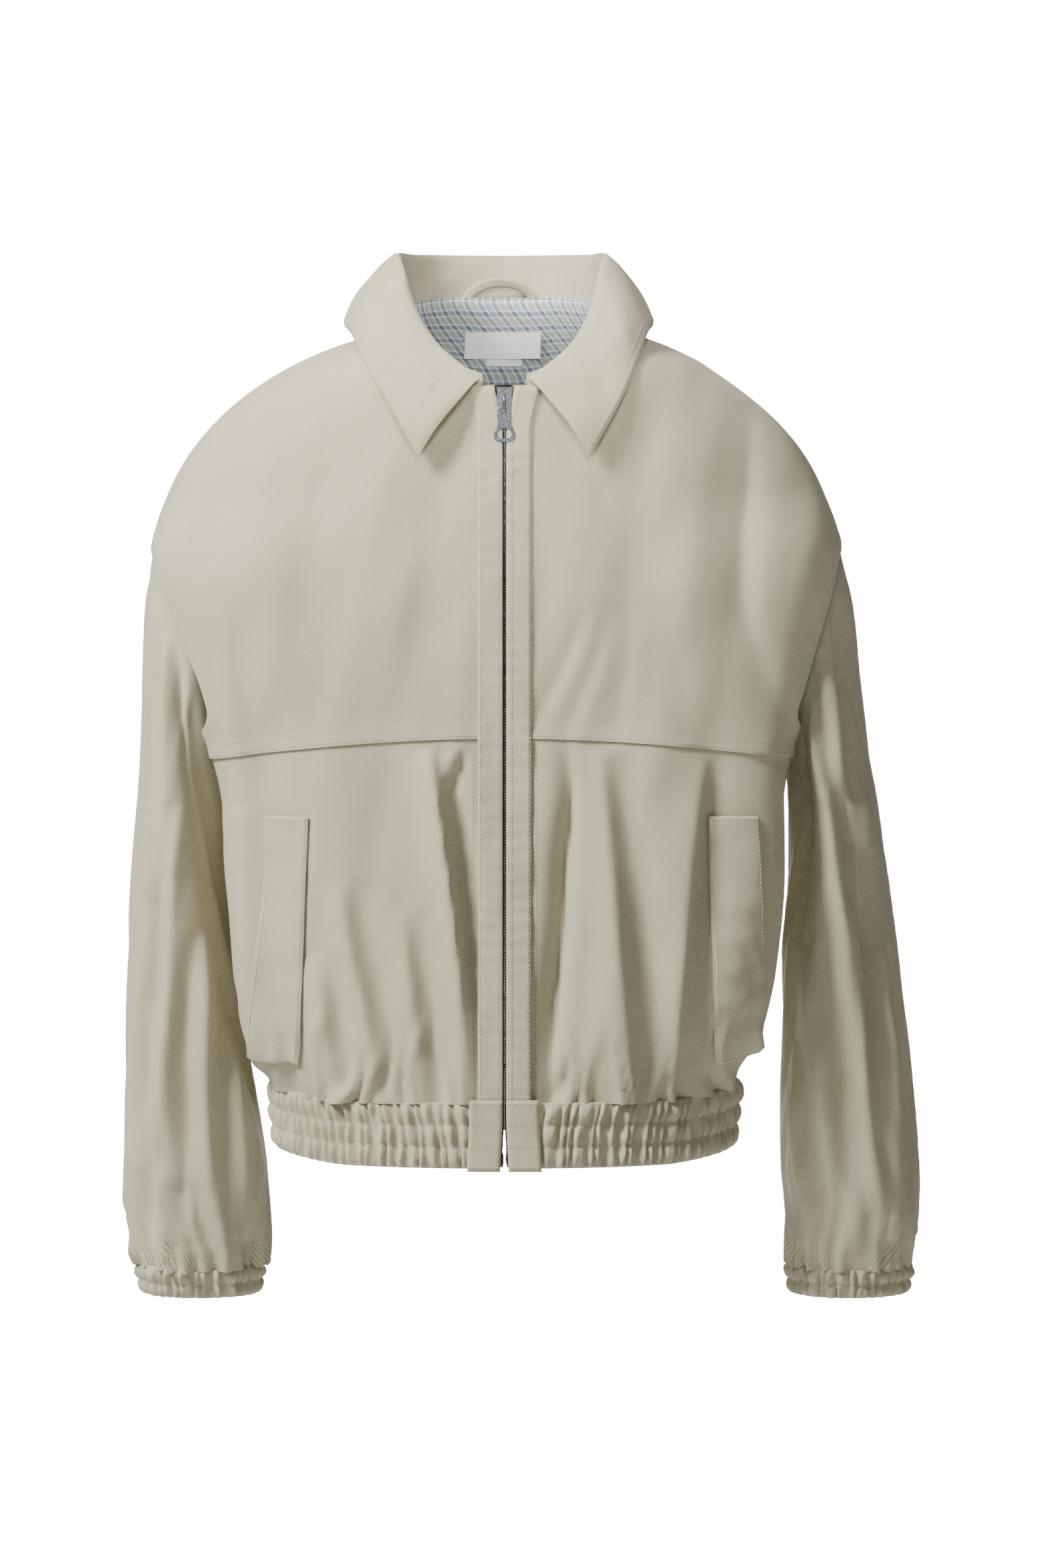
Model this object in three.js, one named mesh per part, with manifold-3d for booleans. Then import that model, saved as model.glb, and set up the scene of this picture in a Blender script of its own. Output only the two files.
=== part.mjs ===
// Zip-front blouson with a pointed collar, yokes, welt pockets, an elasticated hem band and cuffs.
// Sizes are in millimetres. +Z is up, the front faces -Y, and +X is the viewer's right.
// The origin lies midway between the two high shoulder points, where a wearer's shoulders carry it.
import * as THREE from 'three';
import { mergeVertices } from 'three/addons/utils/BufferGeometryUtils.js';
import Module from 'manifold-3d';

const wasm = await Module();
wasm.setup();

// Cloth and clearances
const CLOTH = 1.2;
const LINING = 0.8;
const TOUCH = 0.3;
const LAP_DEPTH = 1.8;
const BODY_SEGMENTS = 28;

// Body: heights
const HEM_SEAM_Z = -530;
const HEM_HEIGHT = 45;
const HEM_BOTTOM_Z = HEM_SEAM_Z - HEM_HEIGHT;
const FRONT_YOKE_Z = -285;
const BACK_YOKE_Z = -150;
const ARM_LEVEL_Z = -155;

// Body: girths
const SHOULDER_HALF_WIDTH = 246;
const SHOULDER_RISE = 161;
const CHEST_HALF_WIDTH = 205;
const HEM_HALF_WIDTH = 168;
const FRONT_TOP_Y = -97;
const FRONT_HEM_Y = -126;
const BACK_DEPTH = 108;
const ROUNDNESS = 2.3;
const ARM_PINCH = 0.09;

// Neck and collar
const NECK_HALF_WIDTH = 80;
const NECK_FRONT_Z = -36;
const NECK_BACK_Y = 62;
const NECK_BACK_Z = 4;
const NECK_SIDE_SEAT = 14.7512930;
const COLLAR_TOP_Z = 50;
const LEAF_THICKNESS = 2.2;
const STAND_THICKNESS = 1.5;
const STAND_TURN = 3;

// Front opening
const FLAP_EDGE_X = 124;
const LAP = 5;
const PLACKET_WIDTH = 16.5;
const EDGE_GAP = 2;
const TAPE_WIDTH = 12;
const COIL_WIDTH = 2.2;
const COIL_DEPTH = 2;
const COIL_START = 0.8;
const ZIP_START = 4;
const STOP_HEIGHT = 3;

// Slider and pull
const SLIDER_WIDTH = 9.6;
const SLIDER_LENGTH = 12;
const SLIDER_PLATE = 1;
const SLIDER_DROP = 16;
const PULL_LENGTH = 24;
const PULL_WIDTH = 13;
const PULL_PLATE = 1.3;
const BRIDGE_WIDTH = 2.2;
const BRIDGE_BAR = 1.2;

// Pockets
const WELT_X = 153;
const WELT_TOP_Z = -335;
const WELT_LENGTH = 171;
const WELT_WIDTH = 31;
const WELT_SLANT = 2;

// Sleeves
const SLEEVE_SEGMENTS = 16;
const SLEEVE_CENTRE_Y = 10;
const SLEEVE_CLEARANCE = 3.5;
const CUFF_SEAM_Z = -658;
const CUFF_HEIGHT = 21;
const ARMHOLE_TOP = new THREE.Vector2(SHOULDER_HALF_WIDTH, ARM_LEVEL_Z);
const ARMHOLE_BASE = new THREE.Vector2(190, -300);
const SPLAY_LEFT = 0;
const SPLAY_RIGHT = 21;

// Elastic inside its casing
const ELASTIC = 1.2;
const CASING = 4.2;

// Hang loop and label
const LOOP_SPAN = 54;
const LOOP_RISE = 23;
const LOOP_STRIP = 7.5;
const LABEL_WIDTH = 54;
const LABEL_HEIGHT = 17;
const TAB_WIDTH = 23;
const TAB_HEIGHT = 6;

const TWILL = { color: 0xc4bfa9, roughness: 0.9, metalness: 0 };
const TWILL_SHADE = { color: 0xb2ad95, roughness: 0.9, metalness: 0 };
const CHECK = { color: 0xb9bdb4, roughness: 0.85, metalness: 0 };
const WOVEN_LABEL = { color: 0xf1f0ec, roughness: 0.8, metalness: 0 };
const ELASTIC_CLOTH = { color: 0xe6e3da, roughness: 0.9, metalness: 0 };
const ZIP_TAPE = { color: 0x57544a, roughness: 0.85, metalness: 0 };
const ZIP_COIL = { color: 0x2f2d2a, roughness: 0.5, metalness: 0.2 };
const GUNMETAL = { color: 0x55534f, roughness: 0.35, metalness: 0.9 };

const jacket = new THREE.Group();

// ---------------------------------------------------------------- solids

function toSolid(geometry) {
  const bare = geometry.clone();
  bare.deleteAttribute('normal');
  bare.deleteAttribute('uv');
  const merged = mergeVertices(bare, 1e-4);
  return new wasm.Manifold(new wasm.Mesh({
    numProp: 3,
    vertProperties: new Float32Array(merged.attributes.position.array),
    triVerts: new Uint32Array(merged.index.array),
  }));
}

function toGeometry(solid) {
  const mesh = solid.getMesh();
  const geometry = new THREE.BufferGeometry();
  geometry.setAttribute('position', new THREE.BufferAttribute(new Float32Array(mesh.vertProperties), 3));
  geometry.setIndex(new THREE.BufferAttribute(new Uint32Array(mesh.triVerts), 1));
  geometry.computeVertexNormals();
  return geometry;
}

function signedVolume(points, indices) {
  let volume = 0;
  for (let i = 0; i < indices.length; i += 3) {
    const a = points[indices[i]];
    const b = points[indices[i + 1]];
    const c = points[indices[i + 2]];
    volume += a.dot(b.clone().cross(c)) / 6;
  }
  return volume;
}

function closedGeometry(points, indices) {
  if (signedVolume(points, indices) < 0) {
    for (let i = 0; i < indices.length; i += 3) {
      [indices[i + 1], indices[i + 2]] = [indices[i + 2], indices[i + 1]];
    }
  }
  const geometry = new THREE.BufferGeometry().setFromPoints(points);
  geometry.setIndex(indices);
  geometry.computeVertexNormals();
  return geometry;
}

// A closed loft through rings of equal point counts, with a flat cap at each end.
function loft(rings) {
  const count = rings[0].length;
  const points = rings.flat();
  const indices = [];
  for (let r = 0; r < rings.length - 1; r++) {
    for (let i = 0; i < count; i++) {
      const a = r * count + i;
      const b = r * count + (i + 1) % count;
      indices.push(a, b, b + count, a, b + count, a + count);
    }
  }
  for (const [first, turn] of [[0, -1], [(rings.length - 1) * count, 1]]) {
    const centre = new THREE.Vector3();
    for (let i = 0; i < count; i++) {
      centre.addScaledVector(points[first + i], 1 / count);
    }
    points.push(centre);
    for (let i = 0; i < count; i++) {
      const a = first + i;
      const b = first + (i + 1) % count;
      indices.push(...(turn > 0 ? [a, b, points.length - 1] : [b, a, points.length - 1]));
    }
  }
  return closedGeometry(points, indices);
}

// A closed sheet between a face and a back, both given as functions of u and v from 0 to 1.
function sheet(face, back, columns, rows) {
  const points = [];
  for (const surface of [face, back]) {
    for (let r = 0; r <= rows; r++) {
      for (let c = 0; c <= columns; c++) {
        points.push(surface(c / columns, r / rows));
      }
    }
  }
  const stride = columns + 1;
  const layer = stride * (rows + 1);
  const indices = [];
  for (let r = 0; r < rows; r++) {
    for (let c = 0; c < columns; c++) {
      const a = r * stride + c;
      indices.push(a, a + 1, a + 1 + stride, a, a + 1 + stride, a + stride);
      indices.push(a + layer, a + 1 + stride + layer, a + 1 + layer);
      indices.push(a + layer, a + stride + layer, a + 1 + stride + layer);
    }
  }
  const rim = [];
  for (let c = 0; c < columns; c++) rim.push(c);
  for (let r = 0; r < rows; r++) rim.push(r * stride + columns);
  for (let c = columns; c > 0; c--) rim.push(rows * stride + c);
  for (let r = rows; r > 0; r--) rim.push(r * stride);
  rim.forEach((a, i) => {
    const b = rim[(i + 1) % rim.length];
    indices.push(b, a, a + layer, b, a + layer, b + layer);
  });
  return closedGeometry(points, indices);
}

function add(name, geometry, finish, parent = jacket) {
  const mesh = new THREE.Mesh(geometry, new THREE.MeshStandardMaterial(finish));
  mesh.name = name;
  parent.add(mesh);
  return mesh;
}

function addSolid(name, solid, finish) {
  return add(name, toGeometry(solid), finish);
}

// The main piece of a cut cloth, without the offcuts that an angled cut can leave
function mainPiece(solid) {
  const pieces = solid.decompose();
  return pieces.reduce((best, piece) => (piece.volume() > best.volume() ? piece : best));
}

function block(x, y, z) {
  const geometry = new THREE.BoxGeometry(x[1] - x[0], y[1] - y[0], z[1] - z[0]);
  return geometry.translate((x[0] + x[1]) / 2, (y[0] + y[1]) / 2, (z[0] + z[1]) / 2);
}

function blockSolid(x, y, z) {
  return toSolid(block(x, y, z));
}

// The span from low to high on one side: side is -1 for the viewer's left and 1 for the right.
function sideSpan(side, low, high) {
  return side > 0 ? [low, high] : [-high, -low];
}

// ---------------------------------------------------------------- body form

// [height, half width, depth behind the side seam]
const BODY_STATIONS = [
  [HEM_BOTTOM_Z - 6, HEM_HALF_WIDTH, BACK_DEPTH - 8],
  [HEM_SEAM_Z, HEM_HALF_WIDTH + 4, BACK_DEPTH - 6],
  [HEM_SEAM_Z + 35, CHEST_HALF_WIDTH - 19, BACK_DEPTH + 4],
  [HEM_SEAM_Z + 110, CHEST_HALF_WIDTH - 9, BACK_DEPTH - 6],
  [ARMHOLE_BASE.y, CHEST_HALF_WIDTH, BACK_DEPTH - 2],
  [(ARMHOLE_BASE.y + ARM_LEVEL_Z) / 2, (CHEST_HALF_WIDTH + SHOULDER_HALF_WIDTH) / 2, BACK_DEPTH + 2],
  [ARM_LEVEL_Z, SHOULDER_HALF_WIDTH, BACK_DEPTH],
];
// Share of the shoulder's rise, and depth behind it
const SHOULDER_STATIONS = [
  [0.373, BACK_DEPTH - 5],
  [0.739, BACK_DEPTH - 18],
  [0.888, BACK_DEPTH - 32],
  [0.981, NECK_BACK_Y - 2],
  [0.999, NECK_BACK_Y - 36],
];

const FRONT_SLOPE = (FRONT_TOP_Y - FRONT_HEM_Y) / (NECK_FRONT_Z - HEM_BOTTOM_Z);

function frontDepth(z) {
  const straight = -(FRONT_TOP_Y + FRONT_SLOPE * (Math.min(z, NECK_FRONT_Z) - NECK_FRONT_Z));
  if (z <= NECK_FRONT_Z) return straight;
  const share = (z - NECK_FRONT_Z) / (ARM_LEVEL_Z + SHOULDER_RISE + 0.5 - NECK_FRONT_Z);
  return straight * Math.sqrt(1 - share * share);
}

function superPower(value) {
  return Math.sign(value) * Math.abs(value) ** (2 / ROUNDNESS);
}

function bodyRing(z, halfWidth, backDepth, inset) {
  const ring = [];
  const pinch = ARM_PINCH * THREE.MathUtils.smoothstep(-z, -ARM_LEVEL_Z + 45, -ARMHOLE_BASE.y + 20);
  const front = frontDepth(z) - inset;
  const rise = Math.max(0, z - ARM_LEVEL_Z) / SHOULDER_RISE;
  for (let i = 0; i < BODY_SEGMENTS; i++) {
    const angle = (2 * Math.PI * i) / BODY_SEGMENTS;
    const depth = Math.sin(angle) < 0 ? front : backDepth - inset;
    const y = depth * superPower(Math.sin(angle));
    const arm = 1 - pinch * Math.exp(-(((y - 15) / 55) ** 2));
    const x = (halfWidth - inset) * superPower(Math.cos(angle)) * arm;
    ring.push(new THREE.Vector3(x, y, z - inset * rise));
  }
  return ring;
}

const bodyForms = new Map();

function bodyForm(inset) {
  if (!bodyForms.has(inset)) {
    const rings = BODY_STATIONS.map(([z, width, back]) => bodyRing(z, width, back, inset));
    for (const [share, back] of SHOULDER_STATIONS) {
      const width = SHOULDER_HALF_WIDTH * Math.sqrt(1 - share * share);
      rings.push(bodyRing(ARM_LEVEL_Z + SHOULDER_RISE * share, width, back, inset));
    }
    bodyForms.set(inset, toSolid(loft(rings)));
  }
  return bodyForms.get(inset);
}

function neckTilt() {
  return Math.atan2(NECK_BACK_Z - NECK_FRONT_Z, NECK_BACK_Y - FRONT_TOP_Y);
}

function neckHole() {
  const length = Math.hypot(NECK_BACK_Y - FRONT_TOP_Y, NECK_BACK_Z - NECK_FRONT_Z) / 2;
  const geometry = new THREE.CylinderGeometry(1, 1, 110, 32);
  geometry.rotateX(Math.PI / 2);
  geometry.scale(NECK_HALF_WIDTH, length, 1);
  geometry.translate(0, 0, 25);
  geometry.rotateX(neckTilt());
  geometry.translate(0, (NECK_BACK_Y + FRONT_TOP_Y) / 2, (NECK_BACK_Z + NECK_FRONT_Z) / 2);
  return toSolid(geometry);
}

// A prism along Y from an outline in X and Z
function prism(outline) {
  const shape = new THREE.Shape(outline.map(([x, z]) => new THREE.Vector2(x, z)));
  const geometry = new THREE.ExtrudeGeometry(shape, { depth: 400, bevelEnabled: false });
  geometry.translate(0, 0, -200);
  geometry.rotateX(Math.PI / 2);
  return toSolid(geometry);
}

// What lies outside the armhole seam, moved outwards by gap
function beyondArmhole(side, gap) {
  const run = ARMHOLE_TOP.clone().sub(ARMHOLE_BASE).normalize();
  const out = new THREE.Vector2(run.y, -run.x).multiplyScalar(gap);
  const top = ARMHOLE_TOP.clone().addScaledVector(run, 120).add(out);
  const base = ARMHOLE_BASE.clone().add(out);
  return prism([
    [side * top.x, top.y],
    [side * base.x, base.y],
    [side * (base.x + 200), base.y],
    [side * (base.x + 200), top.y],
  ]);
}

const neck = neckHole();
const armholes = [beyondArmhole(-1, -TOUCH), beyondArmhole(1, -TOUCH)];

// One layer of cloth over the body, between two insets, cut at the neck and armholes
function layer(inset, thickness) {
  const shell = bodyForm(inset).subtract(bodyForm(inset + thickness));
  return shell.subtract(neck).subtract(armholes[0]).subtract(armholes[1]);
}

const WIDE = 320;
const shellLayer = layer(0, CLOTH);
const sideLayer = layer(LAP_DEPTH, CLOTH);
const frontLiningLayer = layer(CLOTH + TOUCH, LINING);
const backLiningLayer = layer(LAP_DEPTH + CLOTH + LINING + 3 * TOUCH, LINING);

function cut(cloth, x, y, z) {
  return mainPiece(cloth.intersect(blockSolid(x, y, z)));
}

// ---------------------------------------------------------------- back

function buildBack() {
  const back = [TOUCH / 2, WIDE];
  addSolid('back_yoke', cut(shellLayer, [-WIDE, WIDE], back, [BACK_YOKE_Z + TOUCH, 60]), TWILL);
  addSolid('back_panel', cut(shellLayer, [-WIDE, WIDE], back, [HEM_SEAM_Z + TOUCH, BACK_YOKE_Z]), TWILL);

  const facingZ = NECK_BACK_Z - 30;
  const seamZ = facingZ - TOUCH;
  const liningLow = HEM_SEAM_Z + 12;
  addSolid('neck_facing', cut(backLiningLayer, [-70, 70], back, [facingZ, 60]), CHECK);
  const lining = cut(backLiningLayer, [-WIDE, WIDE], [-WIDE, WIDE], [liningLow, seamZ]);
  const frontWindow = blockSolid([-FLAP_EDGE_X + 2, FLAP_EDGE_X - 2], [-WIDE, -TOUCH], [-700, 60]);
  addSolid('back_lining', lining.subtract(frontWindow), CHECK);
}

// A casing with a groove, open upwards, that holds a flat elastic
function buildHemBack() {
  const low = HEM_BOTTOM_Z;
  const high = HEM_SEAM_Z - TOUCH;
  const window = blockSolid([-FLAP_EDGE_X + LAP, FLAP_EDGE_X - LAP], [-WIDE, -TOUCH], [-700, 60]);
  const band = bodyForm(LAP_DEPTH).subtract(bodyForm(LAP_DEPTH + CASING));
  const wall = (CASING - ELASTIC - 2 * TOUCH) / 2;
  const inner = LAP_DEPTH + wall;
  const groove = bodyForm(inner).subtract(bodyForm(inner + ELASTIC + 2 * TOUCH));
  const grooveCut = cut(groove, [-WIDE, WIDE], [-WIDE, WIDE], [low + 2, high + 5]);
  const casing = cut(band, [-WIDE, WIDE], [-WIDE, WIDE], [low, high]).subtract(window);
  addSolid('hem_band_back', casing.subtract(grooveCut), TWILL);

  const strip = bodyForm(inner + TOUCH).subtract(bodyForm(inner + TOUCH + ELASTIC));
  const stripCut = cut(strip, [-WIDE, WIDE], [-WIDE, WIDE], [low + 2 + TOUCH, high - 1]);
  addSolid('hem_elastic_back', stripCut.subtract(window), ELASTIC_CLOTH);
}

// ---------------------------------------------------------------- fronts

function buildFront(side, label) {
  const front = [-WIDE, -TOUCH / 2];
  const panelX = sideSpan(side, EDGE_GAP + PLACKET_WIDTH + TOUCH, FLAP_EDGE_X);
  const upper = [FRONT_YOKE_Z + TOUCH, 60];
  const lower = [HEM_SEAM_Z + TOUCH, FRONT_YOKE_Z];
  addSolid(`front_yoke_${label}`, cut(shellLayer, panelX, front, upper), TWILL);
  addSolid(`front_panel_${label}`, cut(shellLayer, panelX, front, lower), TWILL);

  const sideX = sideSpan(side, FLAP_EDGE_X - LAP, WIDE);
  addSolid(`front_yoke_side_${label}`, cut(sideLayer, sideX, front, upper), TWILL_SHADE);
  addSolid(`front_panel_side_${label}`, cut(sideLayer, sideX, front, lower), TWILL_SHADE);

  const placketX = sideSpan(side, EDGE_GAP, EDGE_GAP + PLACKET_WIDTH);
  addSolid(`placket_${label}`, cut(shellLayer, placketX, front, [HEM_SEAM_Z + TOUCH, 60]), TWILL);

  const liningX = sideSpan(side, EDGE_GAP + PLACKET_WIDTH, FLAP_EDGE_X - 24);
  const liningZ = [HEM_SEAM_Z + 12, NECK_FRONT_Z + 20];
  addSolid(`front_lining_${label}`, cut(frontLiningLayer, liningX, front, liningZ), CHECK);
}

function buildHemFront(side, label) {
  const front = [-WIDE, -TOUCH / 2];
  const height = [HEM_BOTTOM_Z, HEM_SEAM_Z];
  const tabWidth = PLACKET_WIDTH + 6;
  const tabX = sideSpan(side, EDGE_GAP, EDGE_GAP + tabWidth);
  addSolid(`hem_tab_${label}`, cut(shellLayer, tabX, front, height), TWILL);
  const bandX = sideSpan(side, EDGE_GAP + tabWidth + TOUCH, FLAP_EDGE_X);
  addSolid(`hem_band_${label}`, cut(shellLayer, bandX, front, height), TWILL);
  const elasticX = sideSpan(side, EDGE_GAP + tabWidth + TOUCH, FLAP_EDGE_X - 12);
  const elasticZ = [HEM_BOTTOM_Z + 4, HEM_SEAM_Z - 3];
  addSolid(`hem_elastic_${label}`, cut(frontLiningLayer, elasticX, front, elasticZ), ELASTIC_CLOTH);
}

function buildPocket(side, label) {
  const middle = WELT_TOP_Z - WELT_LENGTH / 2;
  const outline = new THREE.BoxGeometry(WELT_WIDTH, CHEST_HALF_WIDTH, WELT_LENGTH);
  outline.rotateY(THREE.MathUtils.degToRad(side * WELT_SLANT));
  outline.translate(side * WELT_X, -CHEST_HALF_WIDTH / 2 - 40, middle);
  const weltCloth = bodyForm(0).subtract(bodyForm(LAP_DEPTH - TOUCH));
  addSolid(`welt_${label}`, weltCloth.intersect(toSolid(outline)), TWILL);

  const bagInset = LAP_DEPTH + CLOTH + TOUCH;
  const bagCloth = bodyForm(bagInset).subtract(bodyForm(bagInset + LINING));
  const bagX = sideSpan(side, FLAP_EDGE_X + 2, WELT_X + 18);
  const bagZ = [WELT_TOP_Z - WELT_LENGTH - 12, WELT_TOP_Z + 10];
  addSolid(`pocket_bag_${label}`, cut(bagCloth, bagX, [-WIDE, -40], bagZ), CHECK);
}

// ---------------------------------------------------------------- zip

// The zip's own frame: its origin is the top of the centre front, and it runs straight down -Z.
const zip = new THREE.Group();
zip.position.set(0, FRONT_TOP_Y, NECK_FRONT_Z);
zip.rotation.x = -Math.atan(FRONT_SLOPE);
jacket.add(zip);

const ZIP_LENGTH = (NECK_FRONT_Z - HEM_BOTTOM_Z) / Math.cos(Math.atan(FRONT_SLOPE));
const TAPE_FACE = CLOTH + TOUCH;
const ZIP_END = -ZIP_LENGTH + 1;
const BOX_TOP = ZIP_END + 10;

function buildZipSide(side, label) {
  const tapeCloth = layer(TAPE_FACE, LINING);
  const tapeStart = COIL_START + COIL_WIDTH + TOUCH;
  const tapeX = sideSpan(side, tapeStart, tapeStart + TAPE_WIDTH);
  const tapeZ = [HEM_BOTTOM_Z, NECK_FRONT_Z - ZIP_START];
  addSolid(`zip_tape_${label}`, cut(tapeCloth, tapeX, [-WIDE, 0], tapeZ), ZIP_TAPE);

  const depth = [TAPE_FACE, TAPE_FACE + COIL_DEPTH];
  const coilX = sideSpan(side, COIL_START, COIL_START + COIL_WIDTH);
  const coilTop = -ZIP_START - STOP_HEIGHT - TOUCH;
  add(`zip_coil_${label}`, block(coilX, depth, [BOX_TOP + TOUCH, coilTop]), ZIP_COIL, zip);
  add(`zip_top_stop_${label}`, block(coilX, depth, [-ZIP_START - STOP_HEIGHT, -ZIP_START]), GUNMETAL, zip);
}

function buildZipEnds() {
  const depth = [TAPE_FACE, TAPE_FACE + COIL_DEPTH + 0.8];
  const coilEnd = COIL_START + COIL_WIDTH;
  add('zip_retainer_box', block([-coilEnd, -COIL_START + 0.4], depth, [ZIP_END, BOX_TOP]), GUNMETAL, zip);
  add('zip_insertion_pin', block([COIL_START, coilEnd - 0.4], depth, [ZIP_END + 2, BOX_TOP]), GUNMETAL, zip);
}

// Two plates joined by a post that stands between the coils, with a bridge bar for the pull
function buildSlider() {
  const half = SLIDER_WIDTH / 2;
  const frontFace = -2 * TOUCH;
  const backFace = TAPE_FACE + COIL_DEPTH + TOUCH;
  const top = -SLIDER_DROP + SLIDER_LENGTH / 2;
  const base = top - SLIDER_LENGTH;
  const barFace = frontFace - SLIDER_PLATE - PULL_PLATE - 2 * TOUCH;
  const bridgeX = [-BRIDGE_WIDTH / 2, BRIDGE_WIDTH / 2];
  const legDepth = [barFace - BRIDGE_BAR, frontFace - SLIDER_PLATE / 2];
  const pieces = [
    blockSolid([-half, half], [frontFace - SLIDER_PLATE, frontFace], [base, top]),
    blockSolid([-half, half], [backFace, backFace + SLIDER_PLATE], [base, top]),
    blockSolid([-0.5, 0.5], [frontFace - 0.5, backFace + 0.5], [top - 5, top]),
    blockSolid(bridgeX, [barFace - BRIDGE_BAR, barFace], [base + 1, top - 1]),
    blockSolid(bridgeX, legDepth, [top - 1 - BRIDGE_BAR, top - 1]),
    blockSolid(bridgeX, legDepth, [base + 1, base + 1 + BRIDGE_BAR]),
  ];
  add('zip_slider', toGeometry(wasm.Manifold.union(pieces)), GUNMETAL, zip);
}

// A slotted plate whose top bar passes under the bridge, with an eye at its lower end
function buildPull() {
  const pivotZ = -SLIDER_DROP - SLIDER_LENGTH / 2 + 1 + BRIDGE_BAR + TOUCH + PULL_PLATE / 2;
  const face = -2 * TOUCH - SLIDER_PLATE - TOUCH - PULL_PLATE;
  const shape = new THREE.Shape();
  const neckHalf = BRIDGE_WIDTH / 2 + TOUCH + 1.7;
  const bar = PULL_PLATE / 2;
  const eye = PULL_WIDTH / 2;
  const eyeZ = -PULL_LENGTH + eye;
  shape.moveTo(-neckHalf, bar);
  shape.lineTo(-neckHalf, eyeZ + eye * 0.8);
  shape.absarc(0, eyeZ, eye, Math.PI * 0.75, Math.PI * 2.25, false);
  shape.lineTo(neckHalf, eyeZ + eye * 0.8);
  shape.lineTo(neckHalf, bar);
  const slotHalf = BRIDGE_WIDTH / 2 + TOUCH;
  const slotEnd = -(SLIDER_LENGTH - 2) - 1;
  const slot = new THREE.Path();
  slot.moveTo(-slotHalf, -bar);
  slot.lineTo(slotHalf, -bar);
  slot.lineTo(slotHalf, slotEnd);
  slot.lineTo(-slotHalf, slotEnd);
  shape.holes.push(slot);
  const hole = new THREE.Path();
  hole.absarc(0, eyeZ, eye - 3, 0, Math.PI * 2, true);
  shape.holes.push(hole);
  const plate = new THREE.ExtrudeGeometry(shape, { depth: PULL_PLATE, bevelEnabled: false, curveSegments: 10 });
  plate.rotateX(Math.PI / 2);
  plate.translate(0, face + PULL_PLATE, pivotZ);
  add('zip_pull', plate, GUNMETAL, zip);
}

// ---------------------------------------------------------------- collar

// Half of each collar line, from the front end round to the centre back
const ROLL_LINE = new THREE.CatmullRomCurve3([
  new THREE.Vector3(17, -102, NECK_FRONT_Z + 1),
  new THREE.Vector3(NECK_HALF_WIDTH - 35, -84, -12),
  new THREE.Vector3(NECK_HALF_WIDTH - 20, -64, 11),
  new THREE.Vector3(NECK_HALF_WIDTH - 10, -38, 40),
  new THREE.Vector3(NECK_HALF_WIDTH - 7, -6, COLLAR_TOP_Z),
  new THREE.Vector3(NECK_HALF_WIDTH - 17, 30, COLLAR_TOP_Z),
  new THREE.Vector3(NECK_HALF_WIDTH - 44, 59, COLLAR_TOP_Z),
  new THREE.Vector3(0, NECK_BACK_Y + 7, COLLAR_TOP_Z),
]);
const LEAF_EDGE = new THREE.CatmullRomCurve3([
  new THREE.Vector3(NECK_HALF_WIDTH - 22, -106, -89),
  new THREE.Vector3(NECK_HALF_WIDTH - 4, -101, -58),
  new THREE.Vector3(NECK_HALF_WIDTH + 12, -88, -30),
  new THREE.Vector3(NECK_HALF_WIDTH + 25, -52, -6),
  new THREE.Vector3(NECK_HALF_WIDTH + 31, -6, 1),
  new THREE.Vector3(NECK_HALF_WIDTH + 18, 52, -2),
  new THREE.Vector3(NECK_HALF_WIDTH - 20, 90, -8),
  new THREE.Vector3(0, 103, -10),
]);
const COLLAR_SPLIT = 4 / 7;
const SPLIT_GAP = 0.006;

// How much higher the neck seam runs at the shoulders, which follows the shoulder's dome
function neckSideLift() {
  const share = NECK_HALF_WIDTH / SHOULDER_HALF_WIDTH;
  return ARM_LEVEL_Z + SHOULDER_RISE * Math.sqrt(1 - share * share) + NECK_SIDE_SEAT;
}

function neckLine(share, inset) {
  const angle = THREE.MathUtils.degToRad(14 + 166 * share ** 1.17);
  const centreY = (NECK_BACK_Y + FRONT_TOP_Y) / 2;
  const depth = (NECK_BACK_Y - FRONT_TOP_Y) / 2 - inset;
  const y = centreY - depth * Math.cos(angle);
  const slope = Math.tan(neckTilt());
  const z = NECK_BACK_Z + (y - NECK_BACK_Y) * slope + neckSideLift() * Math.sin(angle) ** 2;
  return new THREE.Vector3((NECK_HALF_WIDTH - inset) * Math.sin(angle), y, z);
}

function mirrored(point, side) {
  return new THREE.Vector3(point.x * side, point.y, point.z);
}

// The stand rises from the neck seam to just under the roll line.
function standPoint(share, height, thickness) {
  const low = neckLine(share, 2 * TOUCH + thickness);
  low.z -= STAND_TURN;
  const high = ROLL_LINE.getPoint(share);
  const centre = new THREE.Vector3(0, (NECK_BACK_Y + FRONT_TOP_Y) / 2, high.z);
  const inward = centre.sub(high).normalize();
  high.addScaledVector(inward, LEAF_THICKNESS + thickness + TOUCH);
  high.z -= LEAF_THICKNESS / 2;
  return low.lerp(high, height);
}

// The leaf turns over at the roll line and lies out over the shoulders.
function leafPoint(share, drop, depth) {
  const roll = ROLL_LINE.getPoint(share);
  const edge = LEAF_EDGE.getPoint(share);
  const bulge = 5 * Math.sin(Math.PI * drop);
  const point = roll.clone().lerp(edge, drop);
  const along = ROLL_LINE.getTangent(share);
  const across = edge.clone().sub(roll).normalize();
  const normal = along.cross(across).normalize();
  if (normal.z < 0) normal.negate();
  return point.addScaledVector(normal, bulge - depth);
}

function backShare(u, start) {
  const offset = (u * 2 - 1) * (1 - start);
  return [1 - Math.abs(offset), offset < 0 ? -1 : 1];
}

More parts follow.
